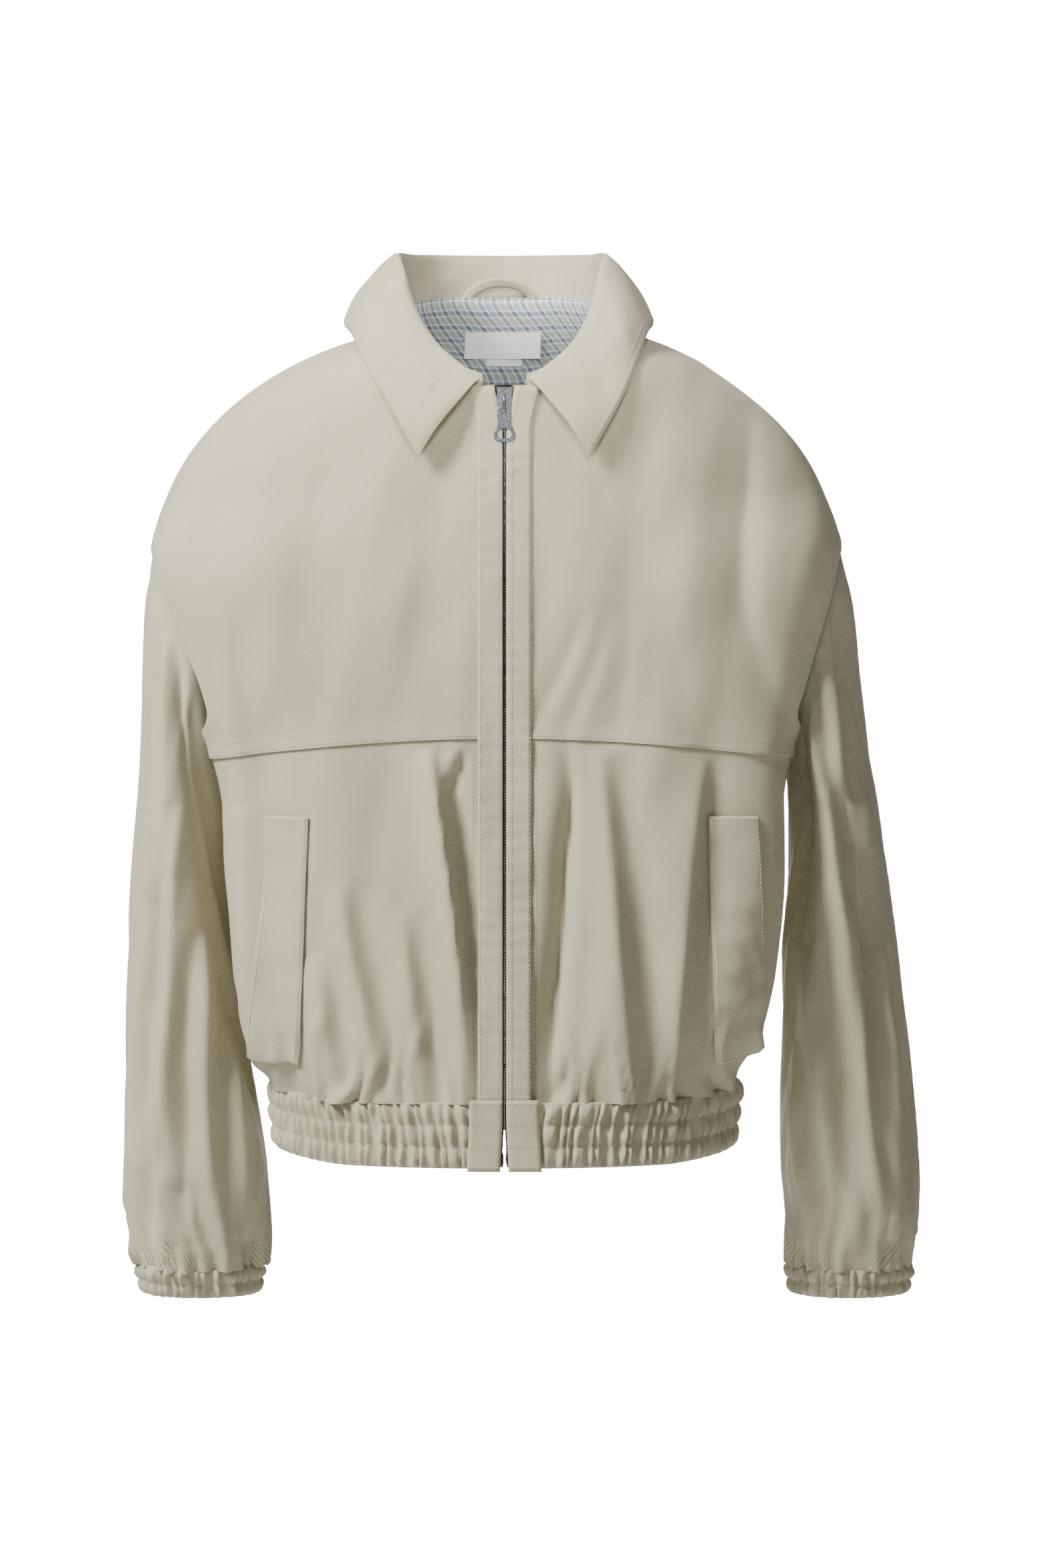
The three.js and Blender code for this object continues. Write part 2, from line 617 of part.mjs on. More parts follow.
function buildCollarBack() {
  const start = COLLAR_SPLIT + SPLIT_GAP;
  const stand = (depth) => (u, v) => {
    const [share, side] = backShare(u, start);
    return mirrored(standPoint(share, v, depth), side);
  };
  add('collar_stand', sheet(stand(0), stand(STAND_THICKNESS), 14, 2), TWILL_SHADE);
  const leaf = (depth) => (u, v) => {
    const [share, side] = backShare(u, start);
    return mirrored(leafPoint(share, v, depth), side);
  };
  add('collar_leaf', sheet(leaf(0), leaf(LEAF_THICKNESS), 14, 3), TWILL);
}

function buildCollarFront(side, label) {
  const end = COLLAR_SPLIT - SPLIT_GAP;
  const stand = (depth) => (u, v) => {
    const share = 0.13 + u * (end - 0.13);
    return mirrored(standPoint(share, v, depth), side);
  };
  add(`collar_stand_${label}`, sheet(stand(0), stand(STAND_THICKNESS), 8, 2), TWILL_SHADE);
  const leaf = (depth) => (u, v) => mirrored(leafPoint(u * end, v, depth), side);
  add(`collar_point_${label}`, sheet(leaf(0), leaf(LEAF_THICKNESS), 9, 3), TWILL);
}

// ---------------------------------------------------------------- sleeves

// [height, centre, half width across X, half depth along Y]
const SLEEVE_STATIONS = [
  [-148, 214, 33, 46],
  [-195, 216, 34, 60],
  [-300, 222, 30, 64],
  [-360, 222, 33.5, 63],
  [-430, 220, 38, 61],
  [-510, 217, 43.5, 58],
  [-590, 212, 50, 53],
  [-640, 210, 47, 45],
  [CUFF_SEAM_Z - CUFF_HEIGHT - 6, 208, 39, 33],
];

// How far out the body's side reaches beside the hanging sleeve, at a height below the armhole
function sideSeamX(z) {
  const next = BODY_STATIONS.findIndex(([height]) => height > z);
  if (next < 1 || z > ARMHOLE_BASE.y) return 0;
  const [lowZ, lowWidth] = BODY_STATIONS[next - 1];
  const [highZ, highWidth] = BODY_STATIONS[next];
  const share = (z - lowZ) / (highZ - lowZ);
  return THREE.MathUtils.lerp(lowWidth, highWidth, share) * (1 - ARM_PINCH);
}

function sleeveForm(side, splay, inset) {
  const rings = SLEEVE_STATIONS.map(([z, centre, halfX, halfY]) => {
    const ring = [];
    const drop = THREE.MathUtils.clamp((ARMHOLE_BASE.y - z) / (ARMHOLE_BASE.y - CUFF_SEAM_Z), 0, 1);
    const middle = Math.max(centre, sideSeamX(z) + SLEEVE_CLEARANCE + halfX);
    for (let i = 0; i < SLEEVE_SEGMENTS; i++) {
      const angle = (2 * Math.PI * i) / SLEEVE_SEGMENTS;
      const x = middle + splay * drop + (halfX - inset) * Math.cos(angle);
      ring.push(new THREE.Vector3(side * x, SLEEVE_CENTRE_Y + (halfY - inset) * Math.sin(angle), z));
    }
    return ring;
  });
  return toSolid(loft(rings));
}

// What is kept of a sleeve: everything outside the armhole seam and above its lower edge
function sleeveSpace(side, gap, low) {
  const run = ARMHOLE_TOP.clone().sub(ARMHOLE_BASE).normalize();
  const out = new THREE.Vector2(run.y, -run.x).multiplyScalar(gap);
  const top = ARMHOLE_TOP.clone().addScaledVector(run, 120).add(out);
  const base = ARMHOLE_BASE.clone().add(out);
  return prism([
    [side * top.x, top.y],
    [side * base.x, base.y],
    [side * (base.x - 60), base.y - TOUCH],
    [side * (base.x - 60), low],
    [side * (base.x + 200), low],
    [side * (base.x + 200), top.y],
  ]);
}

function buildSleeve(side, label, splay) {
  const form = (inset) => sleeveForm(side, splay, inset);
  const tube = form(0).subtract(form(CLOTH));
  const space = sleeveSpace(side, TOUCH, CUFF_SEAM_Z + TOUCH);
  addSolid(`sleeve_${label}`, tube.intersect(space), TWILL_SHADE);

  const liningInset = CLOTH + 3 * TOUCH;
  const liningTube = form(liningInset).subtract(form(liningInset + LINING));
  const liningSpace = sleeveSpace(side, 4, CUFF_SEAM_Z + 10);
  addSolid(`sleeve_lining_${label}`, liningTube.intersect(liningSpace), CHECK);

  const low = CUFF_SEAM_Z - CUFF_HEIGHT;
  const band = cut(form(0).subtract(form(CASING)), [-400, 400], [-WIDE, WIDE], [low, CUFF_SEAM_Z]);
  const wall = (CASING - ELASTIC - 2 * TOUCH) / 2;
  const groove = form(wall).subtract(form(wall + ELASTIC + 2 * TOUCH));
  const grooveCut = cut(groove, [-400, 400], [-WIDE, WIDE], [low + 2, CUFF_SEAM_Z + 5]);
  addSolid(`cuff_${label}`, band.subtract(grooveCut), TWILL_SHADE);
  const strip = form(wall + TOUCH).subtract(form(wall + TOUCH + ELASTIC));
  const stripZ = [low + 2 + TOUCH, CUFF_SEAM_Z - 1];
  addSolid(`cuff_elastic_${label}`, cut(strip, [-400, 400], [-WIDE, WIDE], stripZ), ELASTIC_CLOTH);
}

// ---------------------------------------------------------------- neck fittings

function buildHangLoop() {
  const shape = new THREE.Shape();
  const half = LOOP_SPAN / 2;
  shape.moveTo(half, 0);
  shape.absellipse(0, 0, half, LOOP_RISE, 0, Math.PI, false, 0);
  shape.lineTo(-half + LOOP_STRIP, 0);
  shape.absellipse(0, 0, half - LOOP_STRIP, LOOP_RISE - LOOP_STRIP, Math.PI, 0, true, 0);
  const loop = new THREE.ExtrudeGeometry(shape, { depth: 1.6, bevelEnabled: false, curveSegments: 10 });
  loop.rotateX(Math.PI / 2 - THREE.MathUtils.degToRad(4));
  loop.translate(0, NECK_BACK_Y - 8, NECK_BACK_Z - 3);
  add('hang_loop', loop, TWILL);
}

function buildLabels() {
  const inset = LAP_DEPTH + CLOTH + 2 * LINING + 4 * TOUCH;
  const cloth = bodyForm(inset).subtract(bodyForm(inset + 0.6));
  const labelTop = NECK_BACK_Z - 9;
  const labelZ = [labelTop - LABEL_HEIGHT * 0.75, labelTop];
  const labelX = [-LABEL_WIDTH / 2, LABEL_WIDTH / 2];
  addSolid('neck_label', cut(cloth, labelX, [0, WIDE], labelZ), WOVEN_LABEL);
  const tabZ = [labelZ[0] - TOUCH - TAB_HEIGHT, labelZ[0] - TOUCH];
  addSolid('size_tab', cut(cloth, [-TAB_WIDTH / 2, TAB_WIDTH / 2], [0, WIDE], tabZ), WOVEN_LABEL);
}

// ---------------------------------------------------------------- assembly

buildBack();
buildHemBack();
buildCollarBack();
for (const [side, label, splay] of [[-1, 'left', SPLAY_LEFT], [1, 'right', SPLAY_RIGHT]]) {
  buildFront(side, label);
  buildHemFront(side, label);
  buildPocket(side, label);
  buildCollarFront(side, label);
  buildZipSide(side, label);
  buildSleeve(side, label, splay);
}
buildZipEnds();
buildSlider();
buildPull();
buildHangLoop();
buildLabels();

export default jacket;
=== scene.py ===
import math

import bpy
import numpy as np
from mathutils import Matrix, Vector


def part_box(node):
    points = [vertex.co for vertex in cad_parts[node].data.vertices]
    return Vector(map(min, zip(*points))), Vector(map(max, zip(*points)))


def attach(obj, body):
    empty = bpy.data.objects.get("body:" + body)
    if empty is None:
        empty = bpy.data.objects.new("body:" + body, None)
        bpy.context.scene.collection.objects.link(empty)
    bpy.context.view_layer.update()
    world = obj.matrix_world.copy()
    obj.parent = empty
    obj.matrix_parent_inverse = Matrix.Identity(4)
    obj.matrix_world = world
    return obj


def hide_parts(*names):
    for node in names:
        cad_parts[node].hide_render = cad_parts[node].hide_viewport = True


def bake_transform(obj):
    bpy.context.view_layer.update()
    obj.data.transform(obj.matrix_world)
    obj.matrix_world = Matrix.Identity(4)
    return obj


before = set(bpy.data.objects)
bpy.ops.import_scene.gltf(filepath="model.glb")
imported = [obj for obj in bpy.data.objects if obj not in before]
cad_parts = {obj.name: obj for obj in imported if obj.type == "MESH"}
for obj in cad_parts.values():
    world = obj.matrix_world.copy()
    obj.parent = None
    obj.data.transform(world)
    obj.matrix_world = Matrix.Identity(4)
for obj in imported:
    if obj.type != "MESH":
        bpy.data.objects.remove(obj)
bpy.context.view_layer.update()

# Sizes are in millimetres until a mesh is made.
MM = 0.001
PI = math.pi
ARM_Z = -155.0
SHOULDER_RISE = 161.0
SHOULDER_HALF = 246.0
HEM_SEAM_Z = -530.0
NECK_FRONT_Z = -36.0
CUFF_SEAM_Z = -658.0
CUFF_HEIGHT = 21.0
YOKE_Z = -284.0
BACK_YOKE_Z = -150.0
PLACKET_INNER = 1.3
SIDES = ((-1, "left"), (1, "right"))
FRONT_BEND = {
    -1: ("front_left", (-0.085, 0, 0), (-0.0295, -0.1064, 0)),
    1: ("front_right", (0.085, 0, 0), (0.0295, -0.1064, 0)),
}


# ------------------------------------------------------------------ small maths

def soft_step(value, low, high):
    share = np.clip((value - low) / (high - low), 0, 1)
    return share * share * (3 - 2 * share)


def soft_table(places, values, blur):
    """A line through the values with its corners rounded."""
    fine = np.arange(places[0] - 3 * blur, places[-1] + 3 * blur, 1.0)
    line = np.interp(fine, places, values)
    reach = np.arange(-2 * blur, 2 * blur + 1)
    weight = np.exp(-((reach / (0.6 * blur)) ** 2))
    padded = np.pad(line, len(reach) // 2, mode="edge")
    line = np.convolve(padded, weight / weight.sum(), mode="valid")
    return lambda z: np.interp(z, fine, line)


def ripple(a, b, seed, waves=7):
    """Smooth irregular waves, about -1 to 1, with a length of about one."""
    rng = np.random.default_rng(seed)
    total = np.zeros(np.broadcast(a, b).shape)
    for _ in range(waves):
        turn, phase, pace = rng.uniform(0, 2 * PI), rng.uniform(0, 2 * PI), rng.uniform(0.6, 1.7)
        total = total + np.sin(2 * PI * pace * (a * math.cos(turn) + b * math.sin(turn)) + phase)
    return total / math.sqrt(waves) / 1.2


def rounded_line(points, t):
    """Centripetal curve through points (k, 3); t runs 0 to 1 over equal shares of its spans."""
    points = np.asarray(points, float)
    t = np.asarray(t, float)
    spans = len(points) - 1
    padded = np.vstack([2 * points[0] - points[1], points, 2 * points[-1] - points[-2]])
    place = np.clip(t * spans, 0, spans - 1e-9)
    i = place.astype(int)
    w = (place - i)[..., None]
    p0, p1, p2, p3 = (padded[i + k] for k in range(4))
    pairs = ((p0, p1), (p1, p2), (p2, p3))
    d0, d1, d2 = (np.sqrt(np.linalg.norm(b - a, axis=-1, keepdims=True)) for a, b in pairs)
    m1 = ((p1 - p0) / d0 - (p2 - p0) / (d0 + d1) + (p2 - p1) / d1) * d1
    m2 = ((p2 - p1) / d1 - (p3 - p1) / (d1 + d2) + (p3 - p2) / d2) * d1
    c2 = -3 * p1 + 3 * p2 - 2 * m1 - m2
    c3 = 2 * p1 - 2 * p2 + m1 + m2
    return p1 + m1 * w + c2 * w * w + c3 * w ** 3


FOLD_DEPTH = 2.2


def crease(x, z, line, width, height, fall=0.0):
    """A fold along a line of (x, z) points: a slow rise from its left and a steep drop on its right.

    fall sinks a soft valley beyond the drop.
    """
    best = np.full(np.shape(x), 1e9)
    side = np.zeros(np.shape(x))
    along = np.zeros(np.shape(x))
    line = rounded_line(line, np.linspace(0, 1, 4 * len(line) - 3))
    count = len(line) - 1
    for k in range(count):
        (ax, az), (bx, bz) = line[k], line[k + 1]
        length2 = (bx - ax) ** 2 + (bz - az) ** 2
        share = np.clip(((x - ax) * (bx - ax) + (z - az) * (bz - az)) / length2, 0, 1)
        dx, dz = x - ax - share * (bx - ax), z - az - share * (bz - az)
        away = np.hypot(dx, dz)
        nearer = away < best
        best = np.where(nearer, away, best)
        side = np.where(nearer, np.sign((bx - ax) * dz - (bz - az) * dx), side)
        along = np.where(nearer, (k + share) / count, along)
    taper = np.sin(PI * np.clip(along, 0, 1)) ** 0.6
    broad = width * (0.75 + 0.5 * along)
    signed = best * side
    shape = np.exp(-((best / np.where(signed > 0, 0.62 * broad, 1.7 * broad)) ** 1.5))
    if fall:
        shape = shape - fall * np.exp(-(((signed - 1.7 * broad) / (1.3 * broad)) ** 2))
    return FOLD_DEPTH * height * taper * shape


# ------------------------------------------------------------------ the body's form

BODY_LEVELS = [-581.0, -530.0, -495.0, -420.0, -300.0, -227.5, -155.0]
body_half = soft_table(BODY_LEVELS, [168, 172, 186, 196, 205, 225.5, 246], 22)
body_back = soft_table(BODY_LEVELS, [100, 102, 112, 102, 106, 110, 108], 22)


OUTLINE_LEVELS = [
    -656.0, -615, -573, -532, -490, -449, -408, -366, -325,
    -283, -242, -200, -159, -118, -76, -35, 6,
]
outline_right = soft_table(
    OUTLINE_LEVELS, [13, 17, 14, 12, 11, 9, 7, 6, 5, 2, -3, -6, -10, -16, -15, -14, -8], 16)
outline_left = soft_table(OUTLINE_LEVELS, [6, 7, 7, 7, 7, 7, 7, 5, 3, 3, 4, 3, 1, -4, -4, -2, 0], 16)


def uneven(point, reach):
    """The two sides hang a little differently; reach is how far each point follows its side's outline."""
    x, z = point[..., 0], point[..., 2]
    move = np.where(x > 0, outline_right(z), -outline_left(z))
    point[..., 0] = x + move * reach
    return point


def front_depth(z):
    straight = 97 - 29 / 539 * (np.minimum(z, NECK_FRONT_Z) - NECK_FRONT_Z)
    share = np.clip((z - NECK_FRONT_Z) / 42.5, 0, 0.9999)
    return straight * np.sqrt(1 - share * share)


def body_point(angle, level, inset=0.0):
    """angle 0 is the right side seam and 3/2 pi the centre front; level is mm below the arm level."""
    tilt = np.clip(-level / 200, 0, 0.995) * PI / 2
    share = np.sin(tilt)
    dome = level < 0
    z = np.where(dome, ARM_Z + SHOULDER_RISE * share, ARM_Z - level)
    half = np.where(dome, SHOULDER_HALF * np.cos(tilt), body_half(z))
    back = np.interp(share, [0, 0.373, 0.739, 0.888, 0.981, 0.999], [108, 103, 90, 76, 60, 26])
    back = np.where(dome, back, body_back(z))
    square = 2.3 + 1.0 * soft_step(z, -560, -440) * (1 - soft_step(z, -190, -110))
    cosine, sine = np.cos(angle), np.sin(angle)
    depth = np.where(sine < 0, front_depth(z) - inset, back - inset)
    y = depth * np.sign(sine) * np.abs(sine) ** (2 / square)
    pinch = 0.09 * soft_step(-z, 200, 320)
    arm = 1 - pinch * np.exp(-(((y - 15) / 55) ** 2))
    x = (half - inset) * np.sign(cosine) * np.abs(cosine) ** (2 / square) * arm
    point = np.stack([x, y, z - inset * share], -1)
    return uneven(point, soft_step(np.abs(x), 70, 190) * soft_step(z, -340, -290))


def facing(point_of, a, b, inset, step_a=1e-3, step_b=0.4):
    """Unit normals pointing away from the middle of the form."""
    here = point_of(a, b, inset)
    across = point_of(a + step_a, b, inset) - point_of(a - step_a, b, inset)
    down = point_of(a, b + step_b, inset) - point_of(a, b - step_b, inset)
    normal = np.cross(across, down)
    normal /= np.maximum(np.linalg.norm(normal, axis=-1, keepdims=True), 1e-9)
    return here, normal


def body_facing(angle, level, inset=0.0):
    here, normal = facing(body_point, angle, level, inset)
    outward = here - np.array([0, 0, -250.0]) * [0, 0, 1] * np.where(here[..., 2:] > ARM_Z, 1, 0)
    outward[..., 2] = np.where(here[..., 2] > ARM_Z, here[..., 2] + 250, 0)
    flip = np.sign((normal * outward).sum(-1, keepdims=True))
    return here, normal * np.where(flip == 0, 1, flip)


def body_place(x, z, back=False):
    """The angle and level of the place on the form at x and z."""
    over_arm = np.clip((z - ARM_Z) / SHOULDER_RISE, 0, 0.999)
    level = np.where(z > ARM_Z, -200 / (PI / 2) * np.arcsin(over_arm), ARM_Z - z)
    low = np.zeros(np.shape(x))
    high = np.full(np.shape(x), PI)
    for _ in range(34):
        middle = (low + high) / 2
        angle = middle if back else 2 * PI - middle
        wide = body_point(angle, level)[..., 0] > x
        low = np.where(wide, middle, low)
        high = np.where(wide, high, middle)
    return (low if back else 2 * PI - low), level


# ------------------------------------------------------------------ folds in the cloth

def hem_rise(y):
    """The hem and its seam run a little higher at the sides than at the front."""
    return 7.0 * (1 - np.clip(np.abs(y) / 100, 0, 1) ** 2)


def gathers(run, above, pitch, seed, reach, height):
    """Uneven puffs that run up from a gathered seam."""
    shift = 0.55 * pitch * ripple(run / (3.1 * pitch), 0.15 * above / pitch, seed)
    ridge = 0.5 + 0.5 * np.cos(2 * PI * (run + shift) / pitch)
    length = reach * (1 + 0.5 * ripple(run / (1.3 * pitch), 0 * run, seed + 1))
    fade = np.exp(-((np.maximum(above, 0) / np.maximum(length, 8)) ** 1.4))
    return height * (ridge ** 1.3 - 0.35) * fade * (1 + 0.4 * ripple(run / (2 * pitch), 0 * run, seed + 2))


def front_folds(x, z):
    """How far the front cloth stands off its form."""
    total = 1.9 * ripple(x / 95, z / 190, 3) + 0.7 * ripple(x / 40, z / 90, 5)
    for line, width, height, fall in FRONT_CREASES:
        total = total + crease(x, z, line, width, height, fall)
    below = soft_step(-z, 300, 330)
    run = np.where(x < 0, x - 4, x + 7)
    above = z - HEM_SEAM_Z
    total = total + gathers(run, above, 16, 11, 46, 6.0) * below * soft_step(np.abs(x), 22, 40)
    calm = soft_step(np.abs(x), 12, 34)
    to_armhole = np.where(z > -302, body_edge(z, x) - np.abs(x), 40)
    return total * (0.25 + 0.75 * calm) + 1.8 * (1 - soft_step(to_armhole, 0, 10))


FRONT_CREASES = [
    # left front, below the yoke
    ([(-52, -288), (-48, -306), (-40, -358), (-34, -405), (-29, -450), (-26, -489), (-25, -560)],
     7, 6.4, 0.6),
    ([(-32, -286), (-36, -298), (-41, -316)], 4, 2.6, 0.5),
    ([(-112, -380), (-104, -430), (-92, -485), (-86, -545)], 9, 3.6, 0.6),
    ([(-128, -430), (-122, -480), (-112, -545)], 8, 3.0, 0.5),
    ([(-70, -400), (-64, -450), (-58, -500), (-54, -560)], 8, 3.0, 0.5),
    ([(-180, -330), (-176, -400), (-170, -470), (-160, -525)], 10, 4.0, 0.5),
    # left chest
    ([(-196, -190), (-190, -240), (-182, -290), (-180, -350)], 10, 2.2, 0.6),
    ([(-190, -60), (-197, -110), (-203, -170)], 9, -2.6, 0.0),
    ([(-60, -150), (-72, -200), (-70, -260)], 18, 1.0, 0.4),
    # right chest: a fan of folds above the yoke
    ([(58, -190), (44, -226), (26, -262), (16, -284)], 7, -1.7, 0.0),
    ([(72, -190), (62, -230), (46, -270), (40, -290)], 7, -1.5, 0.0),
    ([(86, -186), (84, -230), (78, -270), (76, -290)], 9, -1.3, 0.0),
    ([(112, -180), (118, -230), (128, -284)], 14, -1.0, 0.0),
    ([(172, -50), (170, -100), (166, -150), (168, -197), (180, -240), (197, -275)], 12, -2.8, 0.0),
    # right front, below the yoke
    ([(44, -284), (46, -324), (42, -370), (40, -415), (36, -455), (33, -489), (31, -560)], 6, -6.4, 0.0),
    ([(66, -288), (72, -350), (78, -430), (84, -500), (88, -560)], 11, 4.6, 0.6),
    ([(139, -290), (131, -341), (122, -430), (117, -489), (114, -560)], 9, 4.2, 0.4),
    ([(190, -300), (186, -360), (182, -430), (170, -520)], 11, 4.4, 0.6),
]


def back_folds(x, z):
    total = 2.0 * ripple(x / 110, z / 240, 23) + 0.8 * ripple(x / 45, z / 120, 25)
    total = total + gathers(x, z - HEM_SEAM_Z, 17, 31, 48, 5.6)
    for line, width, height, fall in BACK_CREASES:
        total = total + crease(x, z, line, width, height, fall)
    return total


BACK_CREASES = [
    ([(-170, -210), (-120, -260), (-60, -330)], 16, 3.5, 0.5),
    ([(165, -200), (120, -270), (70, -350)], 16, 3.5, 0.5),
    ([(-110, -300), (-104, -400), (-100, -510)], 16, 4.0, 0.5),
    ([(20, -260), (26, -380), (22, -510)], 18, 3.2, 0.4),
    ([(118, -330), (124, -420), (118, -520)], 14, 3.8, 0.5),
    ([(-190, -260), (-178, -330), (-150, -400)], 11, 4.4, 0.6),
    ([(192, -250), (178, -330), (150, -410)], 11, 4.4, 0.6),
]


# ------------------------------------------------------------------ sleeves

SLEEVE_LEVELS = [-685.0, -640.0, -590.0, -510.0, -430.0, -360.0, -300.0, -195.0, -148.0]
sleeve_centre = soft_table(SLEEVE_LEVELS, [208, 210, 212, 217, 220, 222, 222, 216, 214], 16)
sleeve_half_x = soft_table(SLEEVE_LEVELS, [39, 47, 50, 43.5, 38, 33.5, 30, 34, 33], 16)
sleeve_half_y = soft_table(SLEEVE_LEVELS, [33, 45, 53, 58, 61, 63, 64, 60, 46], 16)
SPLAY = {-1: 0.0, 1: 21.0}


def sleeve_point(side):
    def point(angle, level, inset=0.0):
        z = -148 - level
        drop = np.clip((-300 - z) / 358, 0, 1)
        x = sleeve_centre(z) + SPLAY[side] * drop + (sleeve_half_x(z) - inset) * np.cos(angle)
        y = 10 + (sleeve_half_y(z) - inset) * np.sin(angle)
        return uneven(np.stack([side * x, y, z + 0 * x], -1), 1.0)

    return point


def sleeve_facing(side, angle, level, inset=0.0):
    here, normal = facing(sleeve_point(side), angle, level, inset)
    outward = side * np.cos(angle) * normal[..., 0] + np.sin(angle) * normal[..., 1]
    return here, normal * np.sign(outward)[..., None]


def sleeve_folds(side, angle, z):
    """angle 0 is the outer side; the front is at 3/2 pi."""
    run = angle * 48
    seed = 40 if side < 0 else 60
    total = 2.6 * ripple(np.cos(angle) * 1.1, np.sin(angle) * 1.1 + z / 210, seed)
    total = total + 1.2 * ripple(np.cos(angle) * 2.1, np.sin(angle) * 2.1 + z / 90, seed + 1)
    total = (total + gathers(run, z - CUFF_SEAM_Z, 14, seed + 3, 42, 6.0)) * soft_step(-z, 150, 215)
    for line, width, height, fall in SLEEVE_CREASES[side]:
        total = total + crease(run, z, line, width, height, fall) * soft_step(-z, 148, 168)
    return total


# (distance round from the outer side, height); the centre front is at 226
SLEEVE_CREASES = {
    -1: [
        ([(296, -152), (264, -166), (232, -184), (206, -204)], 8, 3.6, 0.6),
        ([(258, -176), (240, -230), (216, -300), (196, -400)], 15, -4.2, 0.0),
        ([(250, -215), (243, -300), (236, -380)], 7, 3.6, 0.6),
        ([(228, -330), (232, -420), (240, -520), (236, -600)], 8, 4.6, 0.7),
        ([(205, -420), (212, -500), (214, -580), (206, -640)], 8, 4.2, 0.6),
        ([(258, -470), (252, -560), (246, -640)], 8, 4.0, 0.6),
        ([(182, -480), (190, -560), (188, -640)], 7, 3.6, 0.5),
        ([(270, -250), (262, -330), (256, -400)], 7, 3.0, 0.5),
    ],
    1: [
        ([(196, -150), (190, -230), (184, -320), (182, -430)], 15, -4.8, 0.0),
        ([(262, -160), (246, -200), (224, -240)], 8, 2.4, 0.5),
        ([(252, -190), (240, -250), (236, -330)], 7, 4.2, 0.6),
        ([(210, -260), (222, -340), (228, -430), (224, -520)], 8, 4.4, 0.7),
        ([(248, -360), (240, -440), (236, -520), (238, -620)], 8, 4.6, 0.7),
        ([(196, -430), (206, -510), (212, -600)], 8, 4.0, 0.6),
        ([(262, -430), (262, -520), (256, -640)], 8, 4.2, 0.6),
        ([(180, -500), (186, -570), (194, -645)], 7, 3.4, 0.5),
    ],
}


# ------------------------------------------------------------------ meshes

def net(rows, columns, closed=False):
    """Faces of a net of points, counted along each row first."""
    faces = []
    last = columns if closed else columns - 1
    for r in range(rows - 1):
        for c in range(last):
            d = (c + 1) % columns
            faces.append((r * columns + c, r * columns + d, (r + 1) * columns + d, (r + 1) * columns + c))
    return faces


def clip(values, faces, field):
    """Keeps the part of each face where field is above zero; values are carried along to new points."""
    inside = field > 0
    kept, added, made = [], [], {}
    count = len(values)

    def crossing(a, b):
        key = (min(a, b), max(a, b))
        if key not in made:
            share = field[a] / (field[a] - field[b])
            made[key] = count + len(added)
            added.append(values[a] + (values[b] - values[a]) * share)
        return made[key]

    for face in faces:
        state = [inside[i] for i in face]
        if all(state):
            kept.append(face)
        elif any(state):
            ring = []
            for k, a in enumerate(face):
                b = face[(k + 1) % len(face)]
                if inside[a]:
                    ring.append(a)
                if inside[a] != inside[b]:
                    ring.append(crossing(a, b))
            if len(ring) > 2:
                kept.append(tuple(ring))
    values = np.vstack([values] + ([np.array(added)] if added else []))
    used = np.zeros(len(values), bool)
    for face in kept:
        used[list(face)] = True
    order = np.cumsum(used) - 1
    return values[used], [tuple(int(order[i]) for i in face) for face in kept]


def as_mesh(name, points, faces, uv, materials, kinds=None):
    mesh = bpy.data.meshes.new(name)
    mesh.from_pydata((np.asarray(points) * MM).tolist(), [], faces)
    for material in materials:
        mesh.materials.append(material)
    mesh.polygons.foreach_set("use_smooth", [True] * len(mesh.polygons))
    if kinds is not None:
        mesh.polygons.foreach_set("material_index", kinds)
    if uv is not None:
        corner = np.zeros(len(mesh.loops), np.int32)
        mesh.loops.foreach_get("vertex_index", corner)
        layer = mesh.uv_layers.new(name="cloth")
        layer.data.foreach_set("uv", (np.asarray(uv) * MM)[corner].astype(np.float32).ravel())
    thing = bpy.data.objects.new(name, mesh)
    bpy.context.scene.collection.objects.link(thing)
    return thing


def volume(points, faces):
    total = 0.0
    points = np.asarray(points)
    for face in faces:
        a = points[face[0]]
        for k in range(1, len(face) - 1):
            total += np.dot(a, np.cross(points[face[k]], points[face[k + 1]]))
    return total


def thick(name, outer, inner, faces, uv, materials):
    """A closed layer of cloth between two matching skins; the second material lines its inner face."""
    count = len(outer)
    directed = {}
    for face in faces:
        for k, a in enumerate(face):
            directed[(a, face[(k + 1) % len(face)])] = True
    walls = [(b, a, a + count, b + count) for a, b in directed if (b, a) not in directed]
    lower = [tuple(i + count for i in reversed(face)) for face in faces]
    every = list(faces) + lower + walls
    points = np.vstack([outer, inner])
    if volume(points, every) < 0:
        every = [tuple(reversed(face)) for face in every]
    kinds = None
    if len(materials) > 1:
        kinds = [0] * len(faces) + [1] * len(lower) + [0] * len(walls)
    thing = as_mesh(name, points, every, np.vstack([uv, uv]), materials, kinds)
    rim = {frozenset(pair) for wall in walls for pair in ((wall[0], wall[1]), (wall[2], wall[3]))}
    ends = np.zeros(len(thing.data.edges) * 2, np.int32)
    thing.data.edges.foreach_get("vertices", ends)
    sharp = thing.data.attributes.new("sharp_edge", "BOOLEAN", "EDGE")
    sharp.data.foreach_set("value", [frozenset(pair) in rim for pair in ends.reshape(-1, 2).tolist()])
    return thing


def lengths(points):
    """Distances along the rows and down the columns of a net of points."""
    across = np.linalg.norm(np.diff(points, axis=1), axis=-1)
    down = np.linalg.norm(np.diff(points, axis=0), axis=-1)
    u = np.concatenate([np.zeros((len(points), 1)), np.cumsum(across, 1)], 1)
    v = np.concatenate([np.zeros((1, points.shape[1])), np.cumsum(down, 0)], 0)
    return u, v


